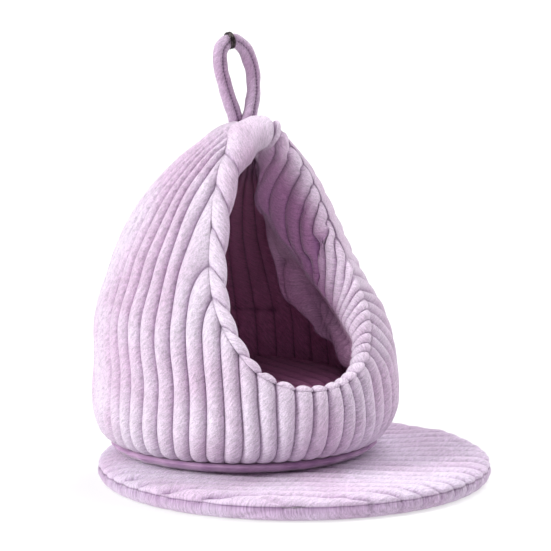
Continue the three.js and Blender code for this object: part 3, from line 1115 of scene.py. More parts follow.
@dataclass
class RibField:
    """Rib coordinates on the wall, the roll and the lining of one half."""

    seam: MouthSeam
    side: Side
    slant_room: float = 0.72
    middle_stop: float = 0.5
    faint: float = 0.15
    plainer: float = 0.75
    plain_above: Span = (100.0, 124.0)
    thread: float = 1.0

    def __post_init__(self) -> None:
        """Reads the sewing tables of the half along the seam."""
        seam, self.shape = self.seam, self.seam.shape
        self.right = self.side is Side.RIGHT
        self.sewing = RIGHT_SEWING if self.right else LEFT_SEWING
        self.share = Curve.through(self.sewing.share)
        self.bag = Curve.through(self.sewing.bag)
        self.lobes, self.ribs = (Curve.through(t)(seam.run) for t in (self.sewing.lobes, self.sewing.ribs))
        slant, self.width, self.puff = (
            Curve.through(t)(seam.height) for t in (self.sewing.slant, self.sewing.width, self.sewing.puff)
        )
        slant = np.minimum(slant, self.slant_room * (self.lobes[-1] - self.lobes))
        self.inner = np.maximum.accumulate(self.lobes + slant) + np.arange(len(slant)) * TINY
        into = seam.into.copy()
        into[:, 0] = np.maximum(into[:, 0], -self.middle_stop * seam.points[:, 0] / self.width)
        self.into = unit(into)
        self.lean = self.ribs - self._straight(seam.angle, seam.height)
        self.flip = np.array([self.side.value, 1.0, 1.0])

    def _straight(self, angle: Grid, height: Grid) -> Grid:
        """Rib coordinate of the wall before the ribs bend over to the seam."""
        start = np.pi if self.right else self.shape.upright_angle
        return self.sewing.upright + (angle - start) * self.shape.per_radian * self.share(height)

    def wall(self, angle: Grid, height: Grid) -> Grid:
        """Rib coordinate of the wall, with the bend near the mouth seam.

        Args:
            angle: Angles from the front.
            height: Heights over the hut's foot.

        Returns:
            Rib coordinates.
        """
        near, run = self.seam.nearest(angle, height)
        share = 1.0 - np.clip(near, 0.0, self.sewing.bend_reach) / self.sewing.bend_reach
        lean = np.interp(run, self.seam.run, self.lean)
        return self._straight(angle, height) + lean * share**self.sewing.bend_power

    def sewn(self, off: Grid, full: Grid, height: Grid) -> Grid:
        """How plainly the mouth seam's thread shows.

        Args:
            off: Distance from the seam.
            full: Height of the rib's section, 0 to 1.
            height: Heights over the hut's foot.

        Returns:
            Values from 0 to 1, high in the grooves and along the upper right.
        """
        plain = self.faint + (self.plainer * ease(*self.plain_above, height) if self.right else 0.0)
        return np.exp(-off / self.thread) * (plain + (1.0 - plain) * (1.0 - full))


@dataclass
class HutCloth(Piece):
    """Cloth of the hut that is laid in two halves on the rings of its outline."""

    seam: MouthSeam
    fields: dict[Side, RibField]

    @staticmethod
    def _from_ridge(skin: Grid) -> Grid:
        """Distance of wall points from the seam over the top and down the back."""
        return np.hypot(skin[..., 0], np.minimum(skin[..., 1], 0.0))

    @staticmethod
    def _stacked(lines: list[Grid]) -> tuple[Grid, Grid, Grid]:
        """Angle, height and run by row and column, from one table per rib line."""
        angle, height, run = (np.stack([line[:, k] for line in lines], 1) for k in range(3))
        return angle, height, run

    @staticmethod
    def _map(field_: RibField, across: Grid, run: Grid) -> Grid:
        """Place on the cloth's own map, from lengths across and along the ribs."""
        return np.stack([field_.side.value * across / CLOTH_UNIT, run], -1)

    def _coarse(
        self, field_: RibField, angle: Grid, height: Grid, rows: int, depth: float
    ) -> tuple[Grid, Grid]:
        """Points of a half's hidden side.

        Args:
            field_: Rib coordinates of the half.
            angle: Angles by row and column.
            height: Heights by row and column.
            rows: Rows that the hidden side keeps.
            depth: Depth of the hidden side below the ribs' crests.

        Returns:
            Points, and the numbers of the rows that are kept.
        """
        keep = np.linspace(0, len(angle) - 1, rows).round().astype(int)
        return self.seam.shape.point(angle[keep], height[keep], depth) * field_.flip, keep


@dataclass
class CoverWall(HutCloth):
    """Outer ribbed wall of the hut, one padded shell that is open at the mouth and the foot."""

    label = "cover_wall"
    finish = LILAC
    slot = Slot.PLUSH
    node = "cover"
    fill = 0.7
    depth: float = 4.3
    edge: float = 4.6
    inner: float = 8.0
    inner_rows: int = 9
    foot_round: float = 7.0
    foot_gap: float = 1.8
    ridge_round: float = 4.5
    seam_round: float = 5.0
    crest_drop: float = 0.9
    groove_drop: float = 0.5
    narrow: Span = (7.0, 40.0)
    pulled: float = 0.8
    pulled_near: Span = (10.0, 34.0)
    pulled_above: Span = (98.0, 122.0)
    calm_seam: float = 14.0
    calm_foot: float = 10.0
    calm_ridge: float = 14.0
    calm_middle: float = 6.0
    sway: Waver = Waver(11, 50.0, 0.6)
    sway_radius: float = 8.0
    uneven: Waver = Waver(12, 34.0, 0.08)
    bulge: Waver = Waver(13, 75.0, 0.5)
    stitched: float = 0.7
    stitch_reach: float = 1.2
    per_rib: int = 12
    foot_rows: int = 12
    foot_reach: float = 8.0
    middle_rows: int = 82
    seam_rows: int = 18
    seam_reach: float = 10.0
    fine: tuple[int, int] = (720, 320)
    crowded: float = 1.4
    tip_gap: float = 0.12

    def _lines(self, field_: RibField, ribs: Grid) -> tuple[Grid, Grid, Grid, int]:
        """Rib lines of one half from the foot to the mouth seam or the back seam.

        Args:
            field_: Rib coordinates of the half.
            ribs: Rib coordinate of each line.

        Returns:
            Angle, height and run by row and column, and how many lines reach the mouth.
        """
        shape, (levels, columns) = self.seam.shape, self.fine
        heights = np.linspace(shape.foot, shape.top, levels)
        start = np.where(heights > shape.lip, shape.mouth_angle(heights), 0.0)
        across = np.linspace(0.0, 1.0, columns) ** self.crowded
        angles = start[:, None] + (np.pi - start)[:, None] * across[None, :]
        value = field_.wall(angles, heights[:, None])
        value = np.maximum.accumulate(value, axis=1) + np.arange(columns) * (0.1 * TINY)
        lines = np.stack([np.interp(ribs, value[k], angles[k]) for k in range(levels)], 1)
        past_back = ribs[:, None] > value[None, :, -1] + 100.0 * TINY
        reach = int((ribs <= field_.ribs[-1] + TINY).sum())
        rising = np.maximum.accumulate(field_.ribs)
        placed = []
        for k, rib in enumerate(ribs):
            line = np.stack([lines[k], heights], -1)
            if k < reach:
                tip_angle, tip = (np.interp(rib, rising, at) for at in (self.seam.angle, self.seam.height))
                line = np.concatenate([line[heights < tip - self.tip_gap], [[tip_angle, tip]]])
            elif past_back[k].any():
                line = line[: int(np.argmax(past_back[k])) + 1]
                line[-1, 0] = np.pi
            placed.append(self._rows(line))
        return *self._stacked(placed), reach

    def _rows(self, line: Grid) -> Grid:
        """Sets the rows along one rib line, close together at both ends.

        Args:
            line: Angle and height along the rib.

        Returns:
            Angle, height and run of each row.
        """
        run = length_along(self.seam.shape.point(line[:, 0], line[:, 1], 0.0))
        foot = np.linspace(0.0, self.foot_reach, self.foot_rows + 1)[:-1]
        middle = np.linspace(self.foot_reach, run[-1] - self.seam_reach, self.middle_rows)
        seam = run[-1] - np.linspace(self.seam_reach, 0.0, self.seam_rows + 1)[1:]
        places = np.concatenate([foot, middle, seam])
        return np.column_stack([resample(line, places, run), places])

    def build(self) -> bpy.types.Object:
        """Makes the wall of both halves.

        Returns:
            The wall's object.
        """
        mesh = ClothMesh()
        (outer, hidden), (outer_2, hidden_2) = (self._half(mesh, self.fields[side]) for side in Side)
        mesh.lace(outer, outer_2, False)
        mesh.lace(hidden, hidden_2, True)
        mesh.skin(np.array([[outer[-1], outer_2[-1]], [hidden[-1], hidden_2[-1]]]), True)
        return mesh.make(self.label, HUT_PLACE)

    def _half(self, mesh: ClothMesh, field_: RibField) -> tuple[Grid, Grid]:
        """Adds one half of the wall, outside, inside and both edges.

        Args:
            mesh: Mesh of the wall.
            field_: Rib coordinates of the half.

        Returns:
            Point numbers along the back seam, outside and inside.
        """
        shape, flip = self.seam.shape, field_.flip
        ribs = rib_columns(0.0, shape.ribs_around / 2.0, self.per_rib)
        angle, height, run, reach = self._lines(field_, ribs)
        skin = shape.point(angle, height, 0.0) * flip
        from_seam = np.clip(self.seam.nearest(angle, height)[0], 0.0, None)
        from_ridge = self._from_ridge(skin)
        calm = ease(0.0, self.calm_seam, from_seam) * ease(0.0, self.calm_foot, run)
        calm = calm * ease(0.0, self.calm_ridge, from_ridge)
        calm = calm * ease(0.0, self.calm_middle, np.abs(skin[..., 0]))
        radius = shape.radius(height)
        full = rib_round(ribs)[None, :] * (1.0 + self.uneven.at(skin) * calm)
        full = 1.0 - (1.0 - full) * ease(*self.narrow, radius)
        if field_.right:
            pulled = self.pulled * (1.0 - ease(*self.pulled_near, from_seam))
            full = 1.0 - (1.0 - full) * (1.0 - pulled * ease(*self.pulled_above, height))
        end = round_end(run, self.foot_round) * round_end(from_ridge, self.ridge_round)
        inset = self.edge - (self.edge - self.depth * (1.0 - full)) * end
        inset = inset + self.foot_gap * (1.0 - full) * (1.0 - ease(0.0, self.foot_reach, run))
        sunk = (1.0 - np.clip(from_seam / self.seam_round, 0.0, 1.0)) ** 2
        inset = inset + sunk * (self.crest_drop * full + self.groove_drop * (1.0 - full))
        inset = inset + self.bulge.at(skin) * calm
        sway = self.sway.at(skin) * calm / np.maximum(radius, self.sway_radius)
        outer = shape.point(angle + sway, height, inset) * flip
        cloth = self._map(field_, angle * radius, run)
        sewn = field_.sewn(from_seam, full, height)
        for off in (run, from_ridge):
            sewn = np.maximum(sewn, self.stitched * np.exp(-off / self.stitch_reach))
        # Groove mark: painted shade in the grooves and along the rounded foot and back ridge.
        number = mesh.rows(outer, cloth, 1.0 - np.clip(full * end, 0.0, 1.0), sewn)
        back, keep = self._coarse(field_, angle, height, self.inner_rows, self.inner)
        hidden = mesh.rows(back, cloth[keep])
        mesh.skin(number, not field_.right)
        mesh.skin(hidden, field_.right)
        mesh.skin(np.stack([number[0], hidden[0]]), field_.right)
        mesh.skin(np.stack([number[-1, :reach], hidden[-1, :reach]]), not field_.right)
        ridge = slice(reach - 1, -1)
        outer_line, hidden_line = (np.concatenate([n[:, -1], n[-1, ridge][::-1]]) for n in (number, hidden))
        return outer_line, hidden_line


@dataclass
class MouthRoll(HutCloth):
    """Plush roll round the mouth, with plump lobes that slant down from the seam."""

    label = "mouth_roll_plush"
    finish = ROLL
    slot = Slot.PLUSH
    node = "mouth_roll"
    fill = 0.8
    lobe: float = 0.24
    lobe_depth: Span = (2.2, 3.0)
    lobe_round: float = 0.97
    lobe_pitch: float = 1e-4
    deeper: float = 0.5
    deeper_above: Span = (80.0, 116.0)
    uneven: Waver = Waver(21, 24.0, 0.05)
    start_in: float = 0.1
    start_depth: float = 0.9
    steepest: float = 0.98
    centre: float = 5.6
    thin: float = 0.32
    thin_from: Span = (96.0, 128.0)
    thin_to: Span = (174.0, 190.0)
    swell: float = 0.7
    swell_from: float = 184.0
    apex_back: float = 0.9
    apex: Span = (184.0, 194.0)
    behind: float = 9.0
    behind_fade: Span = (168.0, 194.0)
    lining_crest: float = 12.8
    lining_rib: float = 2.4
    lining_from: float = 0.75
    under: Span = (0.45, 0.7)
    under_above: Span = (172.0, 188.0)
    near_seam: float = 0.75
    near_less: float = 0.4
    near_above: Span = (90.0, 116.0)
    trim_reach: float = 5.0
    draw_reach: float = 3.0
    middle_gap: float = 2.0
    loose_from: Span = (0.06, 0.3)
    loose_to: Span = (0.62, 0.85)
    # Crease depth at which the painted crease shade is full.
    crease_shade: float = 6.0
    # Painted shade on the roll's inner part, by share of the run and by height.
    shade_from: float = 0.42
    shade_reach: float = 0.4
    shade_left: float = 0.5
    shade_above: Span = (54.0, 66.0)
    shade_sooner: float = 0.37
    sooner_above: Span = (84.0, 150.0)
    top_shade: float = 0.7
    top_shade_run: Span = (0.3, 0.8)
    top_shade_above: Span = (184.0, 195.0)
    per_lobe: int = 16
    round_rows: int = 44
    joint_rows: int = 14
    back_rows: int = 8
    back_depth: float = 8.9
    back_edge: float = 9.4
    back_reach: Span = (3.6, 0.6)

    def joint(self) -> tuple[Grid, Grid, Grid]:
        """Line inside the hut where the roll passes into the lining.

        Returns:
            Distance behind the seam, angle and height at each seam place.
        """
        back = self.behind * (1.0 - ease(*self.behind_fade, self.seam.height))
        angle, height = self.seam.shape.onto_wall(self.seam.points - self.seam.into * back[:, None])
        angle[0], angle[-1] = 0.0, np.pi / 2.0
        return back, np.maximum.accumulate(angle), np.maximum.accumulate(height)

    def build(self) -> bpy.types.Object:
        """Makes the roll of both halves.

        Returns:
            The roll's object.
        """
        mesh = ClothMesh()
        mesh.join(*(self._half(mesh, self.fields[side]) for side in Side))
        return mesh.make(self.label, HUT_PLACE)

    def _half(self, mesh: ClothMesh, field_: RibField) -> Grid:
        """Adds one half of the roll, with its hidden back.

        Args:
            mesh: Mesh of the roll.
            field_: Rib coordinates of the half.

        Returns:
            Point numbers of the half's end at the top of the mouth.
        """
        seam, shape = self.seam, self.seam.shape
        lobes = rib_columns(0.0, field_.lobes[-1], self.per_lobe)
        along = (field_.width, self._thickness(field_), self.joint()[0], field_.puff)
        place = self._places(field_, lobes, along)
        into, depth, out_i, out_d, run = self._sections(*(seam.read(values, place) for values in along))
        share, level = run / run[-1], seam.read(seam.height, place)
        start, direction = seam.read(seam.points, place), seam.read(field_.into, place)
        start = start - self.apex_back * direction * ease(*self.apex, level)[..., None]
        under = ease(*self.under, share) * ease(*self.under_above, level)
        full = 1.0 - (1.0 - rib_round(lobes, self.lobe_round)[None, :]) * (1.0 - under)
        near = self.near_seam
        if field_.right:
            near = near - self.near_less * ease(*self.near_above, start[..., 2])
        trim = self._lobe_depths(field_, place, share, level) * (1.0 - full)
        trim = trim * (near + (1.0 - near) * ease(0.0, self.trim_reach, run))
        plump = 1.0 + self.uneven.at(start * field_.flip)
        depth = self.centre + (depth - self.centre) * plump - trim * out_d
        into = into - trim * out_i * ease(0.0, self.draw_reach, run)
        placed = start + direction * into[..., None]
        x, gap = placed[..., 0], self.middle_gap
        placed[..., 0] = np.where(x < gap, gap * np.exp(x / gap - 1.0), x)
        angle, height = shape.onto_wall(placed)
        crease = np.zeros_like(depth)
        if field_.right:
            seen = shape.point(angle, height, depth) + HUT_PLACE
            loose = ease(*self.loose_from, share) * (1.0 - ease(*self.loose_to, share))
            crease = sum(fold.at(seen) for fold in LINING_FOLDS) * loose
        points = shape.point(angle, height, depth - crease) * field_.flip
        points[:, [0, -1], 0] = 0.0
        cloth = self._map(field_, seam.read(seam.run, place), run)
        # Groove mark: painted shade in the lobes' grooves and in the creases of the loose cloth.
        groove = np.clip(1.0 - full + crease / self.crease_shade, 0.0, 1.0)
        sewn = field_.sewn(run, full, start[..., 2])
        number = mesh.rows(points, cloth, groove, sewn, self._shade(field_, share, start[..., 2]))
        hidden = mesh.rows(self._back(field_, place), cloth[-1 - self.back_rows :])
        mesh.skin(number, not field_.right)
        mesh.skin(np.concatenate([number[-1:], hidden, number[:1]]), not field_.right)
        return np.concatenate([number[:, -1], hidden[:, -1]])

    def _thickness(self, field_: RibField) -> Grid:
        """Half thickness of the roll, swollen at the top and thin on the upper right.

        Args:
            field_: Rib coordinates of the half.

        Returns:
            Half thickness at each seam place.
        """
        height = self.seam.height
        half = self.seam.half * (1.0 + self.swell * ease(self.swell_from, self.seam.shape.top, height))
        if field_.right:
            thin = self.thin * ease(*self.thin_from, height) * (1.0 - ease(*self.thin_to, height))
            half = half * (1.0 - thin)
        return half

    def _places(self, field_: RibField, lobes: Grid, along: tuple[Grid, ...]) -> Grid:
        """Lays the slanting lobe lines over the roll.

        Args:
            field_: Rib coordinates of the half.
            lobes: Lobe coordinate of each line.
            along: Width, half thickness, distance of the joint and puff at each seam place.

        Returns:
            Numbers of seam places, with fractions, by row and line.
        """
        rows = np.ones((self.round_rows + self.joint_rows, 1))
        run = self._sections(*(values * rows for values in along))[4]
        start, bend = field_.sewing.slant_start, field_.sewing.slant_bend
        slant = 1.0 - (1.0 - (run / run[-1]) ** start) ** bend
        phase = field_.lobes[None] + (field_.inner - field_.lobes)[None] * slant
        numbers = np.arange(self.seam.count, dtype=float)
        return np.stack([np.interp(lobes, np.maximum.accumulate(row), numbers) for row in phase])

    def _lobe_depths(self, field_: RibField, place: Grid, share: Grid, level: Grid) -> Grid:
        """Depth of the grooves between the lobes.

        Args:
            field_: Rib coordinates of the half.
            place: Number of the seam place at each point.
            share: Share of the section's run at each point.
            level: Height of the seam place at each point.

        Returns:
            Depths in millimetres.
        """
        seam = self.seam
        pitch = np.gradient(seam.run) / np.maximum(np.gradient(field_.lobes), self.lobe_pitch)
        deep = seam.read(np.clip(self.lobe * pitch, *self.lobe_depth), place)
        if field_.right:
            deep = deep * (1.0 + self.deeper * seam.read(ease(*self.deeper_above, seam.height), place))
        deep = deep + (self.lining_rib - deep) * ease(self.lining_from, 1.0, share)
        return deep * (1.0 + self.swell * ease(self.swell_from, seam.shape.top, level))

    def _shade(self, field_: RibField, share: Grid, level: Grid) -> Grid:
        """Painted shade on the inner part of the roll.

        Args:
            field_: Rib coordinates of the half.
            share: Share of the section's run at each point.
            level: Height of the section's start at each point.

        Returns:
            Values from 0 to 1.
        """
        sooner = self.shade_sooner * ease(*self.sooner_above, level)
        shade = ease(0.0, 1.0, (share - self.shade_from + sooner) / self.shade_reach)
        shade = shade * ease(*self.shade_above, level) * (1.0 if field_.right else self.shade_left)
        top = self.top_shade * ease(*self.top_shade_run, share)
        return shade + (top - shade) * ease(*self.top_shade_above, level)

    def _back(self, field_: RibField, place: Grid) -> Grid:
        """Points of the hidden back, row by row from the joint to the seam.

        Args:
            field_: Rib coordinates of the half.
            place: Number of the seam place at each point of the roll.

        Returns:
            Points in the hut's own frame.
        """
        seam, shape, behind = self.seam, self.seam.shape, self.joint()[0]
        past_joint, past_seam = self.back_reach
        rows = []
        shares = np.linspace(0.0, 1.0, self.back_rows)
        for share, deep in [(0.0, self.back_edge), *((share, self.back_depth) for share in shares)]:
            at = place[-1] + (place[0] - place[-1]) * share
            reach = past_seam - (past_joint + seam.read(behind, at)) * (1.0 - share)
            line = seam.read(seam.points, at) + seam.read(field_.into, at) * reach[..., None]
            rows.append(shape.point(*shape.onto_wall(line), deep) * field_.flip)
        points = np.stack(rows)
        points[:, [0, -1], 0] = 0.0
        return points

    def _sections(
        self, width: Grid, half: Grid, behind: Grid, puff: Grid
    ) -> tuple[Grid, Grid, Grid, Grid, Grid]:
        """Sections from the seam over the roll's crown and inside edge to the lining.

        Args:
            width: Width of the roll at each point's place.
            half: Half thickness at each point's place.
            behind: Distance of the joint at each point's place.
            puff: Extra thickness of the inner half at each point's place.

        Returns:
            Way into the mouth, depth, both parts of the outward direction, and run.
        """
        n = self.round_rows
        steep = np.clip((self.centre - self.start_depth) / half[:n], 0.0, self.steepest)
        first = np.pi - np.arcsin(steep)
        share = np.linspace(0.0, 1.0, n)[:, None]
        turn = first + (-np.pi / 2.0 - first) * share
        middle = self.start_in - width * 0.5 * np.cos(first[:1])
        into = middle[:n] + width[:n] * 0.5 * np.cos(turn)
        thick = half[:n] + np.where(turn < 0.0, puff[:n], 0.0)
        depth = self.centre - thick * np.sin(turn)
        out_i, out_d = np.cos(turn) / (width[:n] * 0.5), -np.sin(turn) / thick
        length = np.hypot(out_i, out_d)
        share = np.linspace(0.0, 1.0, self.joint_rows + 1)[1:, None]
        from_d = self.centre + half[n:] + puff[n:]
        into_2 = middle[n:] + (-behind[n:] - middle[n:]) * share
        depth_2 = from_d + (self.lining_crest + puff[n:] - from_d) * ease(0.0, 1.0, share)
        into, depth = np.concatenate([into, into_2]), np.concatenate([depth, depth_2])
        out_i = np.concatenate([out_i / length, np.zeros_like(into_2)])
        out_d = np.concatenate([out_d / length, np.ones_like(into_2)])
        steps = np.hypot(np.diff(into, axis=0), np.diff(depth, axis=0))
        run = np.concatenate([np.zeros_like(into[:1]), np.cumsum(steps, axis=0)])
        return into, depth, out_i, out_d, run


@dataclass
class Lining(HutCloth):
    """Ribbed lining of the hut, from the roll down to the floor."""

    label = "lining_plush"
    finish = INSIDE
    slot = Slot.INSIDE
    node = "lining"
    fill = 0.4
    roll: MouthRoll
    groove: float = 10.4
    rib: float = 2.4
    back: float = 8.7
    back_rows: int = 8
    per_rib: int = 12
    rows: int = 72
    fine: int = 400
    crowded: float = 1.2
    ridge_round: float = 4.0
    foot_round: float = 5.0
    foot_start: float = 1.0
    narrow: Span = (10.0, 36.0)
    comb: float = 14.0
    comb_from: Span = (0.0, 30.0)
    comb_to: Span = (165.0, 216.0)
    comb_radius: float = 20.0
    fall: float = 16.0
    calm: float = 10.0
    calm_middle: float = 6.0
    uneven: Waver = Waver(31, 45.0, 0.5)
    pulled: float = 0.75
    pulled_near: Span = (14.0, 32.0)
    bag: Place = (9.0, 30.0, 78.0)
    bag_uneven: Waver = Waver(32, 40.0, 0.2)
    bag_middle: float = 10.0
    bag_joint: float = 20.0
    slack_at: float = 14.0
    slack_rib: float = 0.9
    loose_from: Span = (9.0, 17.0)
    loose_to: Span = (44.0, 58.0)
    # Crease depth at which the painted crease shade is full.
    crease_shade: float = 3.4
    cross_seam: Place = (136.0, 155.0, 71.0)
    cross_fade: float = 2.0
    cross_reach: float = 1.5
    cross_depth: float = 1.6
    cross_mark: float = 3.0
    stitched: float = 0.7
    stitch_reach: float = 1.2
    # Painted shade that deepens away from the mouth seam.
    shade_from: Span = (26.0, 62.0)

    def build(self) -> bpy.types.Object:
        """Makes the lining of both halves.

        Returns:
            The lining's object.
        """
        mesh = ClothMesh()
        mesh.join(*(self._half(mesh, self.fields[side]) for side in Side))
        return mesh.make(self.label, HUT_PLACE)

    def _lines(self, field_: RibField, ribs: Grid) -> tuple[Grid, Grid, Grid, int]:
        """Rib lines from the foot to the roll's joint or the back seam.

        Args:
            field_: Rib coordinates of the half.
            ribs: Rib coordinate of each line.

        Returns:
            Angle, height and run by row and column, and how many lines reach the roll.
        """
        shape, seam_run, last = self.seam.shape, self.seam.run, field_.inner[-1]
        _, joint_angle, joint_height = self.roll.joint()
        comb = self.comb * ease(*self.comb_from, seam_run) * (1.0 - ease(*self.comb_to, seam_run))
        placed = []
        for rib in ribs:
            angle, tip, slip = (np.interp(rib, field_.inner, at) for at in (joint_angle, joint_height, comb))
            angle = angle + (np.pi / 2.0) * np.clip((rib - last) / (ribs[-1] - last), 0.0, 1.0)
            heights = np.linspace(shape.foot, tip, self.fine)
            slip = slip * (1.0 - np.exp((heights - heights[-1]) / self.fall))
            angles = np.minimum(angle + slip / np.maximum(shape.radius(heights), self.comb_radius), np.pi)
            run = length_along(shape.point(angles, heights, 0.0))
            places = run[-1] * (1.0 - (1.0 - np.linspace(0.0, 1.0, self.rows)) ** self.crowded)
            line = resample(np.stack([angles, heights], -1), places, run)
            placed.append(np.column_stack([line, places]))
        return *self._stacked(placed), int((ribs <= last).sum())

    def _half(self, mesh: ClothMesh, field_: RibField) -> Grid:
        """Adds one half of the lining with its back.

        Args:
            mesh: Mesh of the lining.
            field_: Rib coordinates of the half.

        Returns:
            Point numbers of the half's back seam.
        """
        shape = self.seam.shape
        ribs = rib_columns(0.0, field_.sewing.lining_ribs, self.per_rib)
        angle, height, run, reach = self._lines(field_, ribs)
        skin = shape.point(angle, height, 0.0) * field_.flip
        from_ridge, from_middle = self._from_ridge(skin), np.abs(skin[..., 0])
        from_seam, near_run = self.seam.nearest(angle, height)
        end = round_end(from_ridge, self.ridge_round) * round_end(run + self.foot_start, self.foot_round)
        calm = ease(0.0, self.calm, from_ridge) * ease(0.0, self.calm_middle, from_middle)
        calm = calm * ease(0.0, self.calm, run[-1] - run)
        pulled = self.pulled * (1.0 - ease(*self.pulled_near, from_seam)) if field_.right else 0.0
        narrow = ease(*self.narrow, shape.radius(height))
        full = 1.0 - (1.0 - rib_round(ribs)[None, :] * end) * narrow * (1.0 - pulled)
        start, crest, far = self.bag
        puff = np.interp(near_run, self.seam.run, field_.puff) * (1.0 - ease(start, far, from_seam))
        sag = field_.bag(height) * ease(start, crest, from_seam) * (1.0 - ease(crest, far, from_seam))
        puff = puff + sag * (1.0 + self.bag_uneven.at(skin))
        middle = 1.0 - ease(0.0, self.bag_middle, from_middle)
        puff = puff * (1.0 - middle * ease(start, self.bag_joint, from_seam))
        slack = 1.0 + self.slack_rib * np.clip(sag / self.slack_at, 0.0, 1.0)
        depth = puff + self.groove + self.rib * slack * full + self.uneven.at(skin) * calm
        crease = np.zeros_like(depth)
        if field_.right:
            depth, crease = self._creased(angle, height, depth, from_seam)
        points = shape.point(angle, height, depth) * field_.flip
        cloth = self._map(field_, angle * shape.radius(height), run)
        # Groove mark: painted shade in the grooves and the folds, and the dark line of the cross seam.
        groove = np.clip(1.0 - full + crease / self.crease_shade, 0.0, 1.0)
        sewn = self.stitched * np.exp(-from_ridge / self.stitch_reach)
        # The shade mark paints shade deeper into the hut.
        number = mesh.rows(points, cloth, groove, sewn, ease(*self.shade_from, from_seam))
        back, keep = self._coarse(field_, angle, height, self.back_rows, self.back)
        hidden = mesh.rows(back, cloth[keep])
        mesh.skin(number, field_.right)
        mesh.skin(hidden, not field_.right)
        mesh.skin(np.stack([number[0], hidden[0]]), not field_.right)
        mesh.skin(np.stack([number[-1, : reach + 1], hidden[-1, : reach + 1]]), field_.right)
        return number[:, -1]

    def _creased(self, angle: Grid, height: Grid, depth: Grid, from_seam: Grid) -> tuple[Grid, Grid]:
        """Presses the folds and the cross seam into the loose cloth on the right.

        Args:
            angle: Angles by row and column.
            height: Heights by row and column.
            depth: Depths of the smooth cloth below the wall's crests.
            from_seam: Distances from the mouth seam.

        Returns:
            New depths, and how deep the creases are.
        """
        seen = self.seam.shape.point(angle, height, depth) + HUT_PLACE
        loose = ease(*self.loose_from, from_seam) * (1.0 - ease(*self.loose_to, from_seam))
        crease = sum(fold.at(seen) for fold in LINING_FOLDS) * loose
        depth = np.maximum(depth - crease, self.groove)
        first, last, level = self.cross_seam
        turn = np.degrees(angle)
        across = ease(first - self.cross_fade, first, turn) * (1.0 - ease(last, last + self.cross_fade, turn))
        pressed = across * bump_at(level, self.cross_reach, height)
        return depth - self.cross_depth * pressed, crease + self.cross_mark * pressed


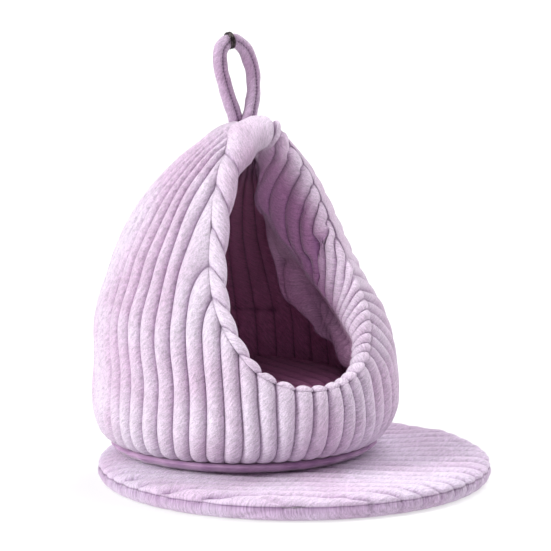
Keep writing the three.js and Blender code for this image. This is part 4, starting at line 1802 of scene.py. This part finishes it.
@dataclass
class RibbedCushion(Piece):
    """Round filled cushion with ribs across its top, sewn round its edge."""

    radius: float
    height: float
    seam_height: float
    top_edge: float
    under_edge: float
    place: Place
    turn: float
    fan: float = 0.0
    pitch: float = 11.4
    depth: float = 2.2
    groove_power: float = 0.6
    most_over: float = 0.2
    pucker: float = 0.45
    pucker_length: float = 11.0
    pucker_waves: int = 14
    pucker_reach: float = 9.0
    edge_gather: float = 0.5
    swell: float = 0.35
    swell_length: float = 60.0
    valley: float = 1.3
    valley_height: float = 1.7
    valley_reach: float = 4.0
    notch: float = 1.2
    notch_reach: float = 6.0
    sink: float = 0.8
    # Painted shade in the top's grooves, fainter near the edge, and on the underside, strongest at the rim.
    groove_shade_edge: Span = (0.3, 1.6)
    underside_shade: Span = (0.92, 0.3)
    thread: Span = (0.7, 2.0)
    per_rib: int = 12
    runs: int = 130
    seed: int = 40
    # Share of painted shade over the whole cushion.
    shade: float = 0.0
    folds: tuple[Fold, ...] = ()

    def _bowed(self, side: Grid, along: Grid) -> Grid:
        """Place across the cushion of a rib's line, which fans out along its run."""
        return side * (1.0 + self.fan * (along / self.radius) * (1.0 - (side / self.radius) ** 2))

    def _rim(self, side: Grid, sign: float, halvings: int = 40) -> Grid:
        """Where each rib's line meets the edge.

        Args:
            side: Place of each rib's line across the middle of the cushion.
            sign: End of the line, -1 or 1.
            halvings: How often the search halves its stretch.

        Returns:
            Places along the ribs.
        """
        low, high = np.zeros_like(side), np.full_like(side, self.radius)
        for _ in range(halvings):
            middle = (low + high) / 2.0
            out = np.hypot(middle, self._bowed(side, sign * middle)) > self.radius
            high, low = np.where(out, middle, high), np.where(out, low, middle)
        return sign * low

    def build(self) -> bpy.types.Object:
        """Makes the cushion.

        Returns:
            The cushion's object.
        """
        count = round(self.radius / self.pitch)
        ribs = rib_columns(-count - 0.5, count + 0.5, self.per_rib)
        side = ribs * self.radius / (count + 0.5)
        low, high = self._rim(side, -1.0), self._rim(side, 1.0)
        mesh = ClothMesh()
        for up, runs in ((True, self.runs), (False, self.runs // 2)):
            share = (1.0 - np.cos(np.pi * np.arange(runs + 1) / runs)) / 2.0
            along = low[None, :] + (high - low)[None, :] * share[:, None]
            points, groove, sewn = self._face(ribs, along, self._bowed(side[None, :], along), up)
            cloth = np.stack(np.broadcast_arrays(ribs[None, :], along), -1)
            mesh.skin(mesh.rows(points, cloth, groove, sewn, self.shade), up)
        return mesh.make(self.label, np.array(self.place))

    def _turned(self, x: Grid, y: Grid, z: Grid) -> Grid:
        """Points of the cushion, turned to the way its ribs lie."""
        c, s = math.cos(math.radians(self.turn)), math.sin(math.radians(self.turn))
        return np.stack([x * c - y * s, x * s + y * c, z], -1)

    def _face(self, ribs: Grid, x: Grid, y: Grid, up: bool) -> tuple[Grid, Grid, Grid]:
        """Top or underside of the cushion.

        Args:
            ribs: Rib coordinate of each column.
            x: Places along the ribs.
            y: Places across them.
            up: Whether this is the top.

        Returns:
            Points, groove and seam values.
        """
        off = np.minimum(np.hypot(x, y), self.radius)
        near = self.radius - off
        plump = round_end(near, self.top_edge if up else self.under_edge)
        full = rib_round(ribs)[None, :]
        around, level = np.arctan2(y, x), np.zeros_like(x)
        rim = self.radius * np.stack([np.cos(around), np.sin(around), level], -1)
        gather = Waver(self.seed, self.pucker_length, self.pucker, self.pucker_waves).at(rim)
        gather = gather * np.exp(-near / self.pucker_reach)
        if up:
            swell = Waver(self.seed + 1, self.swell_length, self.swell).at(np.stack([x, y, level], -1))
            z = self.seam_height + (self.height - self.seam_height) * plump
            z = z - self.depth * (1.0 - full) * plump**self.groove_power
            z = np.minimum(z + (gather + swell) * plump, self.height + self.most_over)
            # Painted shade in the grooves, fainter where the top rounds over the edge.
            least, growth = self.groove_shade_edge
            groove = np.sqrt(1.0 - np.clip(full, 0.0, 1.0)) * np.clip(plump * growth, least, 1.0)
        else:
            z = self.seam_height * (1.0 - plump)
            # Painted shade on the underside, strongest at the rim and in the grooves.
            crest, less = self.underside_shade
            groove = (crest + (1.0 - crest) * (1.0 - full)) * (1.0 - less * plump)
        crease = sum((fold.at(self._turned(x, y, z)) for fold in self.folds), np.zeros_like(x))
        if up:
            z = z - crease * (self.sink * np.clip(plump * 2.0, 0.0, 1.0))
        pull = self.valley * bump_at(self.seam_height, self.valley_height, z)
        pull = pull * np.exp(-near / self.valley_reach) + crease + self.edge_gather * gather * (1.0 - plump)
        pull = pull + self.notch * (1.0 - full) * np.exp(-near / self.notch_reach)
        scale = (off - pull) / np.maximum(off, TINY)
        high, wide = self.thread
        sewn = np.exp(-np.abs(z - self.seam_height) / high) * np.exp(-near / wide)
        return self._turned(x * scale, y * scale, z), groove, sewn


@dataclass
class FloorPad(RibbedCushion):
    """Filled pad on the hut's floor, with ribs from front to back."""

    label = "floor_pad_plush"
    finish = FLOOR_IN_SHADE
    slot = Slot.INSIDE
    node = "floor_pad"
    fill = 0.7
    radius: float = 75.0
    height: float = 40.0
    seam_height: float = 17.0
    top_edge: float = 26.0
    under_edge: float = 20.0
    place: Place = tuple(HUT_PLACE + (0.0, -2.2, 6.8))
    turn: float = 90.0
    per_rib: int = 8
    runs: int = 70
    seed: int = 70
    # Painted shade over the whole pad.
    shade: float = 0.9


@dataclass
class Mat(RibbedCushion):
    """Round mat under the hut, with ribs that fan out a little and a few creases."""

    label = "mat_plush"
    finish = MAT
    slot = Slot.PLUSH
    node = "mat"
    fill = 0.6
    radius: float = 117.6
    height: float = 14.0
    seam_height: float = 8.0
    top_edge: float = 13.0
    under_edge: float = 5.0
    place: Place = (0.0, 0.0, 0.0)
    turn: float = -30.0
    fan: float = 0.3
    depth: float = 2.9
    folds: tuple[Fold, ...] = MAT_FOLDS


@dataclass
class BaseBand(Piece):
    """Smooth sewn band under the wall."""

    label = "base_band_cloth"
    finish = BandFinish()
    slot = Slot.BAND
    node = "base_band"
    fill = 0.5
    sides: int = 220
    profile: Table = (
        (60, 0), (70, 0), (73.5, 0.7), (76.8, 2), (79.2, 3.6), (80.2, 5), (79.4, 6.1), (77, 6.6), (60, 6.6),
    )
    rim: float = 77.0
    soft_from: Span = (72.0, 76.0)
    pucker: Waver = Waver(51, 14.0, 0.35)
    swell: Waver = Waver(52, 45.0, 0.3)
    smooth_angle: float = 60.0

    def build(self) -> bpy.types.Object:
        """Turns a drawn circle up into the band by extruding it row by row.

        Returns:
            The band's object.
        """
        bpy.ops.object.select_all(action="DESELECT")
        first_radius, first_height = self.profile[0]
        place = tuple((HUT_PLACE + [0.0, 0.0, first_height]) * MM)
        bpy.ops.mesh.primitive_circle_add(
            vertices=self.sides, radius=first_radius * MM, fill_type="NGON", location=place
        )
        piece = bpy.context.object
        piece.name = piece.data.name = self.label
        bpy.ops.object.mode_set(mode="EDIT")
        bpy.ops.mesh.select_all(action="SELECT")
        bpy.ops.mesh.flip_normals()
        bpy.ops.mesh.select_mode(type="EDGE")
        for (radius, height), (wider, higher) in zip(self.profile, self.profile[1:]):
            bpy.ops.mesh.extrude_edges_move(TRANSFORM_OT_translate={"value": (0, 0, (higher - height) * MM)})
            grow = wider / radius
            bpy.ops.transform.resize(value=(grow, grow, 1.0), center_override=place)
        bpy.ops.mesh.edge_face_add()
        bpy.ops.mesh.select_all(action="SELECT")
        bpy.ops.mesh.normals_make_consistent(inside=False)
        bpy.ops.object.mode_set(mode="OBJECT")
        pick(piece)
        bpy.ops.object.transform_apply(location=True, rotation=True, scale=True)
        self._soften(piece)
        bpy.ops.object.shade_smooth_by_angle(angle=math.radians(self.smooth_angle))
        return piece

    def _soften(self, piece: bpy.types.Object) -> None:
        """Lets the band swell and pucker a little, as sewn cloth does.

        Args:
            piece: The band's object.
        """
        mesh = piece.data
        points = np.zeros(len(mesh.vertices) * 3)
        mesh.vertices.foreach_get("co", points)
        local = points.reshape(-1, 3) / MM - HUT_PLACE
        off = np.hypot(local[:, 0], local[:, 1])
        rim = local * np.array([1.0, 1.0, 0.0]) / np.maximum(off, 1.0)[:, None] * self.rim
        swell = (self.pucker.at(rim) + self.swell.at(rim)) * ease(*self.soft_from, off)
        local[:, :2] *= (1.0 + swell / np.maximum(off, 1.0))[:, None]
        mesh.vertices.foreach_set("co", ((local + HUT_PLACE) * MM).ravel())
        mesh.update()


@dataclass
class HangingLoop(Piece):
    """Plush tube sewn into a hanging loop, with its seam on the front."""

    label = "hanging_loop_plush"
    finish = LOOP
    slot = Slot.PLUSH
    node = "hanging_loop"
    fill = 0.8
    thick: float = 8.6
    y: float = 4.0
    cross: float = 2.4
    cross_height: float = 30.0
    foot: float = 193.6
    sides: int = 56
    steps: int = 420
    fine: int = 3000
    smoothed: int = 120
    map_unit: float = 22.0
    furrow: float = 1.3
    furrow_reach: float = 0.9
    stitch: float = 2.1
    stitch_depth: float = 0.13
    stitch_reach: float = 2.2
    # Reach and beat of the painted shade along the seam furrow and its stitch dimples.
    furrow_shade_reach: float = 1.2
    furrow_shade_beat: Span = (0.65, 0.35)
    thread_beat: Span = (0.75, 0.25)
    ring_at: float = 0.485
    pinch: float = 0.9
    pinch_reach: float = 2.6
    fluff: Waver = Waver(61, 9.0, 0.14)
    uneven: Waver = Waver(62, 25.0, 0.12)
    line: Table = (
        (-0.6, 0), (-3.4, 8.2), (-6.6, 15.2), (-9.4, 22), (-11.6, 28.6), (-13.1, 34.8), (-13.3, 40.6),
        (-12.6, 45.6), (-9.8, 49.2), (-5.6, 50.6), (-0.8, 48.8), (3.2, 45), (6.6, 39), (8.6, 32.2),
        (9.1, 25), (8.4, 17), (6.2, 8.6), (3.4, 0),
    )

    def path(self) -> tuple[Grid, Grid, Grid]:
        """Centre line of the tube at even distances.

        Returns:
            Points, unit tangents and run.
        """
        x, z = np.array(self.line, float).T
        cross = self.cross * (1.0 - ease(0.0, self.cross_height, z)) * np.sign(-x)
        knots = np.stack([x, self.y + cross, self.foot + z], -1)
        step = length_along(knots)
        fine = np.linspace(0.0, step[-1], self.fine)
        smooth = np.stack([Curve(step, knots[:, k])(fine) for k in range(3)], -1)
        window = np.hanning(2 * self.smoothed + 1)
        window /= window.sum()
        ends = (self.smoothed, self.smoothed)
        padded = np.pad(smooth, (ends, (0, 0)), mode="reflect", reflect_type="odd")
        smooth = np.stack([np.convolve(padded[:, k], window, mode="valid") for k in range(3)], -1)
        run = length_along(smooth)
        even = np.linspace(0.0, run[-1], self.steps + 1)
        points = resample(smooth, even, run)
        return points, unit(np.gradient(points, axis=0)), even

    def build(self) -> bpy.types.Object:
        """Makes the tube along its line.

        Returns:
            The loop's object.
        """
        points, tangent, run = self.path()
        front = np.array([0.0, -1.0, 0.0])
        across = np.cross(tangent, front)
        turn = np.linspace(0.0, 2.0 * np.pi, self.sides + 1)[None, :]
        along = run[:, None]
        outward = np.cos(turn)[..., None] * front + np.sin(turn)[..., None] * across[:, None, :]
        off = np.abs((turn + np.pi) % (2.0 * np.pi) - np.pi) * self.thick / 2.0
        stitched = np.cos(2.0 * np.pi * along / self.stitch)
        radius = self.thick / 2.0 - self.furrow * bump_at(0.0, self.furrow_reach, off)
        radius = radius + self.stitch_depth * stitched * np.exp(-off / self.stitch_reach)
        radius = radius - self.pinch * bump_at(self.ring_at * run[-1], self.pinch_reach, along)
        skin = points[:, None, :] + self.thick / 2.0 * outward
        radius = radius + self.fluff.at(skin) + self.uneven.at(skin)
        tube = points[:, None, :] + radius[..., None] * outward
        tube[:, -1] = tube[:, 0]
        cloth = np.stack(np.broadcast_arrays(turn * self.thick / self.map_unit, along), -1)
        # Groove mark: painted shade along the seam furrow, deeper in the stitch dimples; seam mark: the dark
        # thread.
        groove, sewn = (
            np.exp(-off / reach) * (mean - beat * stitched)
            for reach, (mean, beat) in (
                (self.furrow_shade_reach, self.furrow_shade_beat), (self.furrow_reach, self.thread_beat),
            )
        )
        mesh = ClothMesh()
        number = mesh.rows(tube, cloth, groove, sewn)
        mesh.skin(number, False)
        for end, flip in ((0, False), (-1, True)):
            middle = np.broadcast_to(points[end], tube[end].shape)
            cap = mesh.rows(middle[None], cloth[end][None])
            mesh.skin(np.concatenate([cap, number[end][None]]), flip)
        return mesh.make(self.label, HUT_PLACE)


@dataclass
class LoopRing(Piece):
    """Small dark wire ring of two turns on the crown of the loop."""

    label = "loop_ring_wire"
    finish = SteelFinish()
    slot = Slot.STEEL
    node = "loop_ring"
    loop: HangingLoop
    bore: float = 3.7
    wire: float = 0.75
    round_sides: int = 72
    wire_sides: int = 18

    def build(self) -> bpy.types.Object:
        """Sets two wire turns side by side round the tube and joins them.

        Returns:
            The ring's object.
        """
        points, tangent, run = self.loop.path()
        k = int(round(self.loop.ring_at * (len(run) - 1)))
        turn = Vector((0.0, 0.0, 1.0)).rotation_difference(Vector(tangent[k])).to_euler()
        turns = []
        for shift in (-self.wire, self.wire):
            place = (points[k] + tangent[k] * shift + HUT_PLACE) * MM
            bpy.ops.object.select_all(action="DESELECT")
            bpy.ops.mesh.primitive_torus_add(
                major_segments=self.round_sides, minor_segments=self.wire_sides,
                major_radius=(self.bore + self.wire) * MM, minor_radius=self.wire * MM,
                location=tuple(place), rotation=turn,
            )
            turns.append(bpy.context.object)
        pick(*turns)
        bpy.ops.object.join()
        ring = bpy.context.object
        ring.name = ring.data.name = self.label
        bpy.ops.object.transform_apply(location=True, rotation=True, scale=True)
        bpy.ops.object.shade_smooth()
        return ring


@dataclass(frozen=True)
class Lamp:
    """Soft far light, with its power, direction and spread in degrees."""

    name: str
    power: float
    azimuth: float
    elevation: float
    spread: float


@dataclass
class Studio:
    """Pale floor, soft light and the camera."""

    azimuth: float = -30.0
    elevation: float = 13.0
    distance: float = 1.5
    focal_pixels: float = 2500.0
    frame_pixels: float = 551.0
    sensor: float = 36.0
    aim_right: float = -0.0114
    aim_up: float = 0.1195
    lamps: tuple[Lamp, ...] = (
        Lamp("key_light", 2.55, -88.0, 24.0, 20.0),
        Lamp("side_light", 1.2, -112.0, 45.0, 40.0),
        Lamp("top_light", 2.15, 110.0, 58.0, 40.0),
        Lamp("rim_light", 1.1, 72.0, 34.0, 30.0),
    )
    lamp_tint: Place = (0.94, 1.0, 0.95)
    sky: float = 0.4
    sky_tint: Place = (1.0, 0.84, 0.98)
    floor_size: float = 16.0
    floor_drop: float = 0.0005
    paper: Finish = PaperFinish()

    def build(self) -> None:
        """Sets up floor, light and camera."""
        self._floor()
        self._light()
        self._camera()

    def _axes(self, azimuth: float, elevation: float) -> tuple[Vector, Vector, Vector]:
        """Directions of a view.

        Args:
            azimuth: Angle round the hut from the front, in degrees.
            elevation: Angle over the floor, in degrees.

        Returns:
            Back, right and up.
        """
        a, e = math.radians(azimuth), math.radians(elevation)
        back = Vector((math.sin(a) * math.cos(e), -math.cos(a) * math.cos(e), math.sin(e)))
        right = Vector((math.cos(a), math.sin(a), 0.0))
        return back, right, back.cross(right)

    def _floor(self) -> None:
        """Adds a wide pale floor."""
        bpy.ops.object.select_all(action="DESELECT")
        bpy.ops.mesh.primitive_plane_add(size=self.floor_size, location=(0.0, 0.0, -self.floor_drop))
        floor = bpy.context.object
        floor.name = "studio_floor"
        floor.data.materials.append(self.paper.material())

    def _light(self) -> None:
        """Adds the soft lamps and the pale surroundings."""
        for lamp in self.lamps:
            sun = bpy.data.lights.new(lamp.name, "SUN")
            sun.energy = lamp.power
            sun.angle = math.radians(lamp.spread)
            sun.color = self.lamp_tint
            light = bpy.data.objects.new(lamp.name, sun)
            back, _, _ = self._axes(lamp.azimuth, lamp.elevation)
            light.rotation_euler = back.to_track_quat("Z", "Y").to_euler()
            bpy.context.scene.collection.objects.link(light)
        world = bpy.data.worlds.new("studio_sky")
        world.use_nodes = True
        sky = world.node_tree.nodes["Background"]
        sky.inputs["Color"].default_value = (*self.sky_tint, 1.0)
        sky.inputs["Strength"].default_value = self.sky
        bpy.context.scene.world = world

    def _camera(self) -> None:
        """Adds the camera at the photograph's angle."""
        lens = bpy.data.cameras.new("camera")
        lens.sensor_fit = "HORIZONTAL"
        lens.sensor_width = self.sensor
        lens.lens = self.sensor * self.focal_pixels / self.frame_pixels
        camera = bpy.data.objects.new("camera", lens)
        back, right, up = self._axes(self.azimuth, self.elevation)
        camera.location = back * self.distance
        aim = right * self.aim_right + up * self.aim_up
        camera.rotation_euler = (aim - camera.location).to_track_quat("-Z", "Y").to_euler()
        scene = bpy.context.scene
        scene.collection.objects.link(camera)
        scene.camera = camera
        scene.view_settings.view_transform = "Standard"


def main() -> None:
    """Sets up the studio, then builds and dresses the pieces in order."""
    logging.basicConfig(level=logging.INFO, format="%(name)s: %(message)s")
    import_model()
    Studio().build()
    seam = MouthSeam(HutShape())
    fields = {side: RibField(seam, side) for side in Side}
    roll = MouthRoll(seam, fields)
    loop = HangingLoop()
    pieces: tuple[Piece, ...] = (
        CoverWall(seam, fields), roll, Lining(seam, fields, roll), FloorPad(), BaseBand(), loop,
        LoopRing(loop), Mat(),
    )
    for piece in pieces:
        piece.dress(piece.build())


if __name__ == "__main__":
    main()
